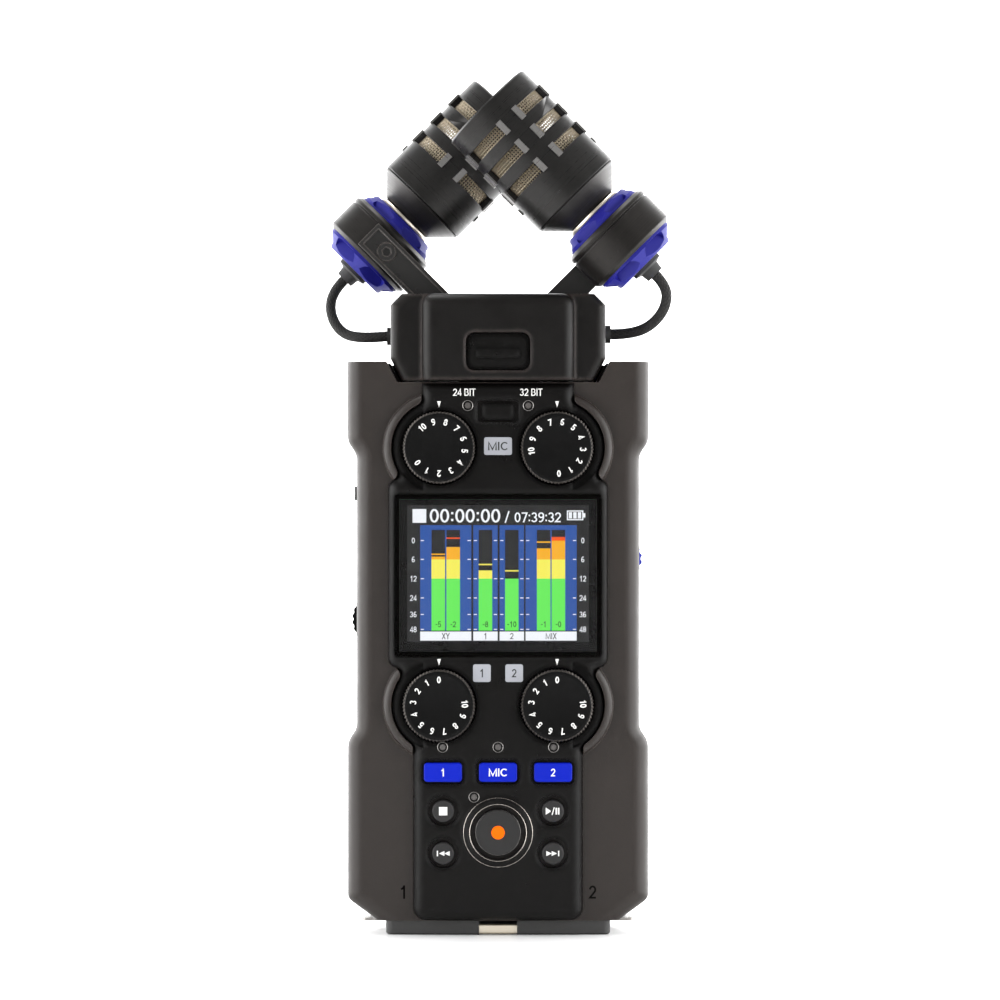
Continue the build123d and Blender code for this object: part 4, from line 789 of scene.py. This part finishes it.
lcd_x, _, _, _, lcd_y = span("lcd_module")
lcd_middle = span("display_glass")[1]
screen = Print(lcd_y - 0.004)
LAYER = 0.006


def on_screen(shape, x, z, *rest, **more):
    """A shape of Print drawn on the display, at a place from its middle."""
    getattr(screen, shape)(lcd_x + x, lcd_middle + SCREEN_RISE + z, *rest, **more)


on_screen("rectangle", 0, 0, *SCREEN, lit_black)
on_screen("rectangle", -20.0, 14.65, 3.5, 3.5, lit_white, lift=LAYER)
on_screen("text", -8.4, 14.7, "00:00:00", 3.6, lit_white, lift=LAYER, stretch=1.22)
on_screen("text", 2.3, 14.4, "/", 3.0, lit_white, lift=LAYER, weight=LIGHT)
on_screen("text", 10.1, 14.3, "07:39:32", 2.6, lit_white, lift=LAYER, stretch=1.11)
on_screen("outline", 19.6, BATTERY_Z, 4.2, 2.5, 0.3, lit_white, lift=LAYER)
on_screen("rectangle", 21.95, BATTERY_Z, 0.5, 1.1, lit_white, lift=LAYER)
for cell in range(3):
    on_screen("rectangle", 18.4 + 1.15 * cell, BATTERY_Z, 0.85, 1.6, lit_white, lift=LAYER)
for x, width, words in GROUPS:
    on_screen("rectangle", x, (GROUP_TOP + BAR_FOOT) / 2, width, GROUP_TOP - BAR_FOOT, lit_blue, lift=LAYER)
    on_screen("rectangle", x, LABEL_Z, width, 2.3, lit_white, lift=LAYER)
    on_screen("text", x, LABEL_Z, words, 1.6, lit_black, lift=2 * LAYER, weight=LIGHT)
for x, level, peak, readout in METERS:
    bar_middle = (BAR_TOP + BAR_FOOT) / 2
    on_screen("rectangle", x, bar_middle, BAR_WIDTH, BAR_TOP - BAR_FOOT, lit_black, lift=2 * LAYER)
    for low, high, material in ZONES:
        top = min(high, level)
        if top > low:
            on_screen("rectangle", x, (low + top) / 2, BAR_WIDTH, top - low, material, lift=3 * LAYER)
        if low < peak <= high:
            on_screen("rectangle", x, peak, BAR_WIDTH, 0.35, material, lift=3 * LAYER)
    on_screen("text", x, READOUT_Z, "-" + readout, MARK_HEIGHT, lit_black, lift=4 * LAYER, weight=LIGHT)
for words, z in MARKS.items():
    for side in (-1, 1):
        on_screen("text", side * MARK_X, z, words, MARK_HEIGHT, lit_white, lift=LAYER, weight=LIGHT)
    for x, width, _ in GROUPS:
        for side in (-1, 1):
            on_screen("rectangle", x + side * (width / 2 - 0.55), z, 0.8, 0.22, lit_white, lift=2 * LAYER)
screen.finish("display_picture", "recorder", "display", thickness=0.002)


# ---- Microphones ----

def mic_frame(k):
    """Origin at the nose, axis towards the tail, and the direction across, for microphone k."""
    origin = Vector((-MIC_OFFSET.x * k, -MIC_OFFSET.y * k, MIC_OFFSET.z))
    return origin, Vector((k * LEAN, 0, -LEAN)), Vector((k * LEAN, 0, LEAN))


def neck_rings():
    """A pale ring round the neck of each microphone, its profile along and from the axis."""
    build = bmesh.new()
    profile = [(38.25, 7.5), (38.35, 7.82), (38.55, 7.92), (39.0, 7.92), (39.2, 7.82), (39.28, 7.5)]
    for k in (-1, 1):
        origin, axis = mic_frame(k)[:2]
        lathe(build, origin, axis, [(s * MM, r * MM) for s, r in profile], 96)
    make_piece("neck_rings", build, [neck_cream], "mic_module")


def wire(build, points, radius):
    """A thin four-sided wire along points, closed at its ends."""
    rings = []
    for index, point in enumerate(points):
        ahead = points[min(index + 1, len(points) - 1)] - points[max(index - 1, 0)]
        side = ahead.cross(Vector((0.31, 0.77, 0.55))).normalized()
        up = ahead.cross(side).normalized()
        corners = (side, up, -side, -up)
        rings.append([build.verts.new(point + radius * corner) for corner in corners])
    for lower, upper in zip(rings, rings[1:]):
        for step in range(4):
            after = (step + 1) % 4
            build.faces.new((lower[step], lower[after], upper[after], upper[step]))
    build.faces.new(rings[0])
    build.faces.new(reversed(rings[-1]))


MESH_R = 11.35
MESH_SPAN = (3.0, 26.5)
MESH_PITCH = 0.75
MESH_WIRE_R = 0.19


def woven_sleeve():
    """Woven wire behind the windows: wires along the barrel over and under hoops round it."""
    build = bmesh.new()
    around = 2 * round(math.pi * MESH_R / MESH_PITCH)
    hoops = round((MESH_SPAN[1] - MESH_SPAN[0]) / MESH_PITCH)
    wave = MESH_WIRE_R * 0.9
    for k in (-1, 1):
        origin, axis, across = mic_frame(k)
        out = Vector((0, -k, 0))

        def at(s, turn, radius):
            return origin + MM * (axis * s + radius * (out * math.cos(turn) + across * math.sin(turn)))

        for strand in range(around):
            turn = 2 * math.pi * strand / around
            points = []
            for step in range(2 * hoops + 1):
                s = MESH_SPAN[0] + step * MESH_PITCH / 2
                points.append(at(s, turn, MESH_R + wave * math.cos(math.pi * (step / 2 + strand))))
            wire(build, points, MESH_WIRE_R * MM)
        for hoop in range(hoops):
            s = MESH_SPAN[0] + hoop * MESH_PITCH
            points = []
            for step in range(2 * around + 1):
                turn = math.pi * step / around
                points.append(at(s, turn, MESH_R - wave * math.cos(math.pi * (step / 2 + hoop))))
            wire(build, points, MESH_WIRE_R * MM)
    piece = make_piece("woven_sleeves", build, [mesh_wire], "mic_module", smooth_angle=80,
                       solid=False)
    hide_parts("mesh_sleeves")


neck_rings()
woven_sleeve()


# ---- Dock ----

# right-hand lip behind the slanted side of the module, from the front, in millimetres
DOCK_LIP = [(24.72, 140.8), (25.1, 140.8), (27.9, 146.1), (27.16, 146.1), (24.72, 141.3)]
DOCK_LIP_Y = (16.0, 18.0)


def dock_lips():
    """A lip on each side of the dock, near black and matte, closing the view between the module and the
    casing: painted shade in the gap.
    """
    build = bmesh.new()
    for side in (-1, 1):
        rows = [[build.verts.new((side * x * MM, y * MM, z * MM)) for x, z in DOCK_LIP] for y in DOCK_LIP_Y]
        front, rear = rows
        build.faces.new(front)
        build.faces.new(rear)
        for step in range(len(DOCK_LIP)):
            after = (step + 1) % len(DOCK_LIP)
            build.faces.new((front[step], front[after], rear[after], rear[step]))
    make_piece("dock_lips", build, [gap_shade_lip], "recorder", smooth_angle=0)


dock_lips()


# ---- Leads ----

LEAD_R = 1.375
LEAD_ROUTES = {
    "lead_right": [
        (40.23, -13.9, 168.37), (43.3, -13.7, 165.3), (42.9, -12.4, 159.8), (39.0, -9.8, 155.2),
        (33.6, -7.9, 153.4), (28.9, -7.5, 153.4),
    ],
    "lead_left": [
        (-40.23, 13.9, 168.37), (-43.4, 13.7, 165.2), (-44.0, 12.6, 159.2), (-40.6, 10.5, 153.9),
        (-34.4, 8.0, 152.9), (-28.9, 7.5, 153.4),
    ],
}
BRAID_STEP = 0.11
BRAID_AROUND = 60
BRAID_PITCH = 2.4
BRAID_STRANDS = 10
BRAID_RELIEF = 0.21


def smooth_line(name, points):
    """Points along the NURBS spline that has the route's points as its control points."""
    curve = bpy.data.curves.new(name + "_route", "CURVE")
    curve.dimensions = "3D"
    spline = curve.splines.new("NURBS")
    spline.points.add(len(points) - 1)
    for target, point in zip(spline.points, points):
        target.co = (*(c * MM for c in point), 1)
    spline.order_u = 3
    spline.use_endpoint_u = True
    spline.resolution_u = 48
    holder = bpy.data.objects.new(name + "_route", curve)
    scene.collection.objects.link(holder)
    mesh = bpy.data.meshes.new_from_object(holder.evaluated_get(bpy.context.evaluated_depsgraph_get()))
    bpy.data.objects.remove(holder)
    return [v.co.copy() for v in mesh.vertices]


def evenly(points, step):
    """The same line as points an even step apart."""
    lengths = [0.0]
    for before, after in zip(points, points[1:]):
        lengths.append(lengths[-1] + (after - before).length)
    count = round(lengths[-1] / step)
    result = []
    segment = 0
    for index in range(count + 1):
        target = lengths[-1] * index / count
        while segment < len(points) - 2 and lengths[segment + 1] < target:
            segment += 1
        share = (target - lengths[segment]) / (lengths[segment + 1] - lengths[segment])
        result.append(points[segment].lerp(points[segment + 1], share))
    return result


def braided_lead(name, points):
    """A lead in place of its plain CAD node, with the relief of strands that wind both ways."""
    line = evenly(smooth_line(name, points), BRAID_STEP * MM)
    build = bmesh.new()
    side = (line[1] - line[0]).orthogonal().normalized()
    rings = []
    for index, point in enumerate(line):
        ahead = (line[min(index + 1, len(line) - 1)] - line[max(index - 1, 0)]).normalized()
        side = (side - ahead * side.dot(ahead)).normalized()
        up = ahead.cross(side)
        along = index * BRAID_STEP / BRAID_PITCH
        ring = []
        for step in range(BRAID_AROUND):
            turn = 2 * math.pi * step / BRAID_AROUND
            right = math.sin(BRAID_STRANDS * turn / 2 + 2 * math.pi * along) ** 2
            left = math.sin(BRAID_STRANDS * turn / 2 - 2 * math.pi * along) ** 2
            radius = (LEAD_R - BRAID_RELIEF * (1 - max(right, left))) * MM
            ring.append(build.verts.new(point + radius * (side * math.cos(turn) + up * math.sin(turn))))
        rings.append(ring)
    for lower, upper in zip(rings, rings[1:]):
        for step in range(BRAID_AROUND):
            after = (step + 1) % BRAID_AROUND
            build.faces.new((lower[step], lower[after], upper[after], upper[step]))
    build.faces.new(rings[0])
    build.faces.new(reversed(rings[-1]))
    piece = make_piece(name + "_braid", build, [braid], "mic_module", smooth_angle=60)
    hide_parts(name)


for name, points in LEAD_ROUTES.items():
    braided_lead(name, points)


# ---- Floor, backdrop and lights ----

floor_material, floor_tree, floor_shader = new_material("studio_floor")
floor_tone = blend_colours(floor_tree, noise(floor_tree, 0.4), (0.80, 0.80, 0.80), (0.84, 0.84, 0.84))
floor_tree.links.new(floor_tone, floor_shader.inputs["Base Color"])
floor_shader.inputs["Roughness"].default_value = 0.35

FLOOR_RADIUS = 2.2
BEND_STEPS = 12
WALL_BEND = 0.8
WALL_TOP = 3.0
floor_build = bmesh.new()
floor_profile = [(0.0, 0.001), (0.0, FLOOR_RADIUS)]
for step in range(1, BEND_STEPS + 1):
    bend = math.radians(90 * step / BEND_STEPS)
    floor_profile.append((WALL_BEND * (1 - math.cos(bend)), FLOOR_RADIUS + WALL_BEND * math.sin(bend)))
floor_profile.append((WALL_TOP, FLOOR_RADIUS + WALL_BEND))
lathe(floor_build, Vector((0, 0, 0)), (0, 0, 1), floor_profile, 96, closed=False)
# the wall is kept only behind the recorder
WALL_FOOT = 0.01
WALL_START = 0.6
in_front = []
for facet in floor_build.faces:
    middle = facet.calc_center_median()
    if middle.z > WALL_FOOT and middle.y < WALL_START:
        in_front.append(facet)
bmesh.ops.delete(floor_build, geom=in_front, context="FACES")
floor_mesh = bpy.data.meshes.new("studio_floor")
floor_build.to_mesh(floor_mesh)
floor_build.free()
floor_mesh.materials.append(floor_material)
floor_mesh.shade_smooth()
floor = bpy.data.objects.new("studio_floor", floor_mesh)
scene.collection.objects.link(floor)


def softbox(name, place, aim, size, power):
    """A rectangular area light aimed at a point."""
    data = bpy.data.lights.new(name, "AREA")
    data.shape = "RECTANGLE"
    data.size, data.size_y = size
    data.energy = power
    light = bpy.data.objects.new(name, data)
    scene.collection.objects.link(light)
    light.location = place
    light.rotation_euler = (Vector(aim) - Vector(place)).to_track_quat("-Z", "Y").to_euler()


MIDDLE = (0, 0, 0.11)
for name, x in (("left_panel", -0.7), ("right_panel", 0.7)):
    softbox(name, (x, -0.02, 0.16), MIDDLE, (1.6, 0.8), 21)
softbox("top_softbox", (0, 0.1, 0.9), MIDDLE, (0.8, 0.5), 9)
softbox("backdrop_light", (0, 1.0, 1.6), (0, 2.9, 0.2), (2.4, 0.8), 190)

world = bpy.data.worlds.new("studio")
world.use_nodes = True
world.node_tree.nodes["Background"].inputs["Color"].default_value = (1, 1, 1, 1)
world.node_tree.nodes["Background"].inputs["Strength"].default_value = 0.5
scene.world = world
scene.view_settings.view_transform = "Standard"
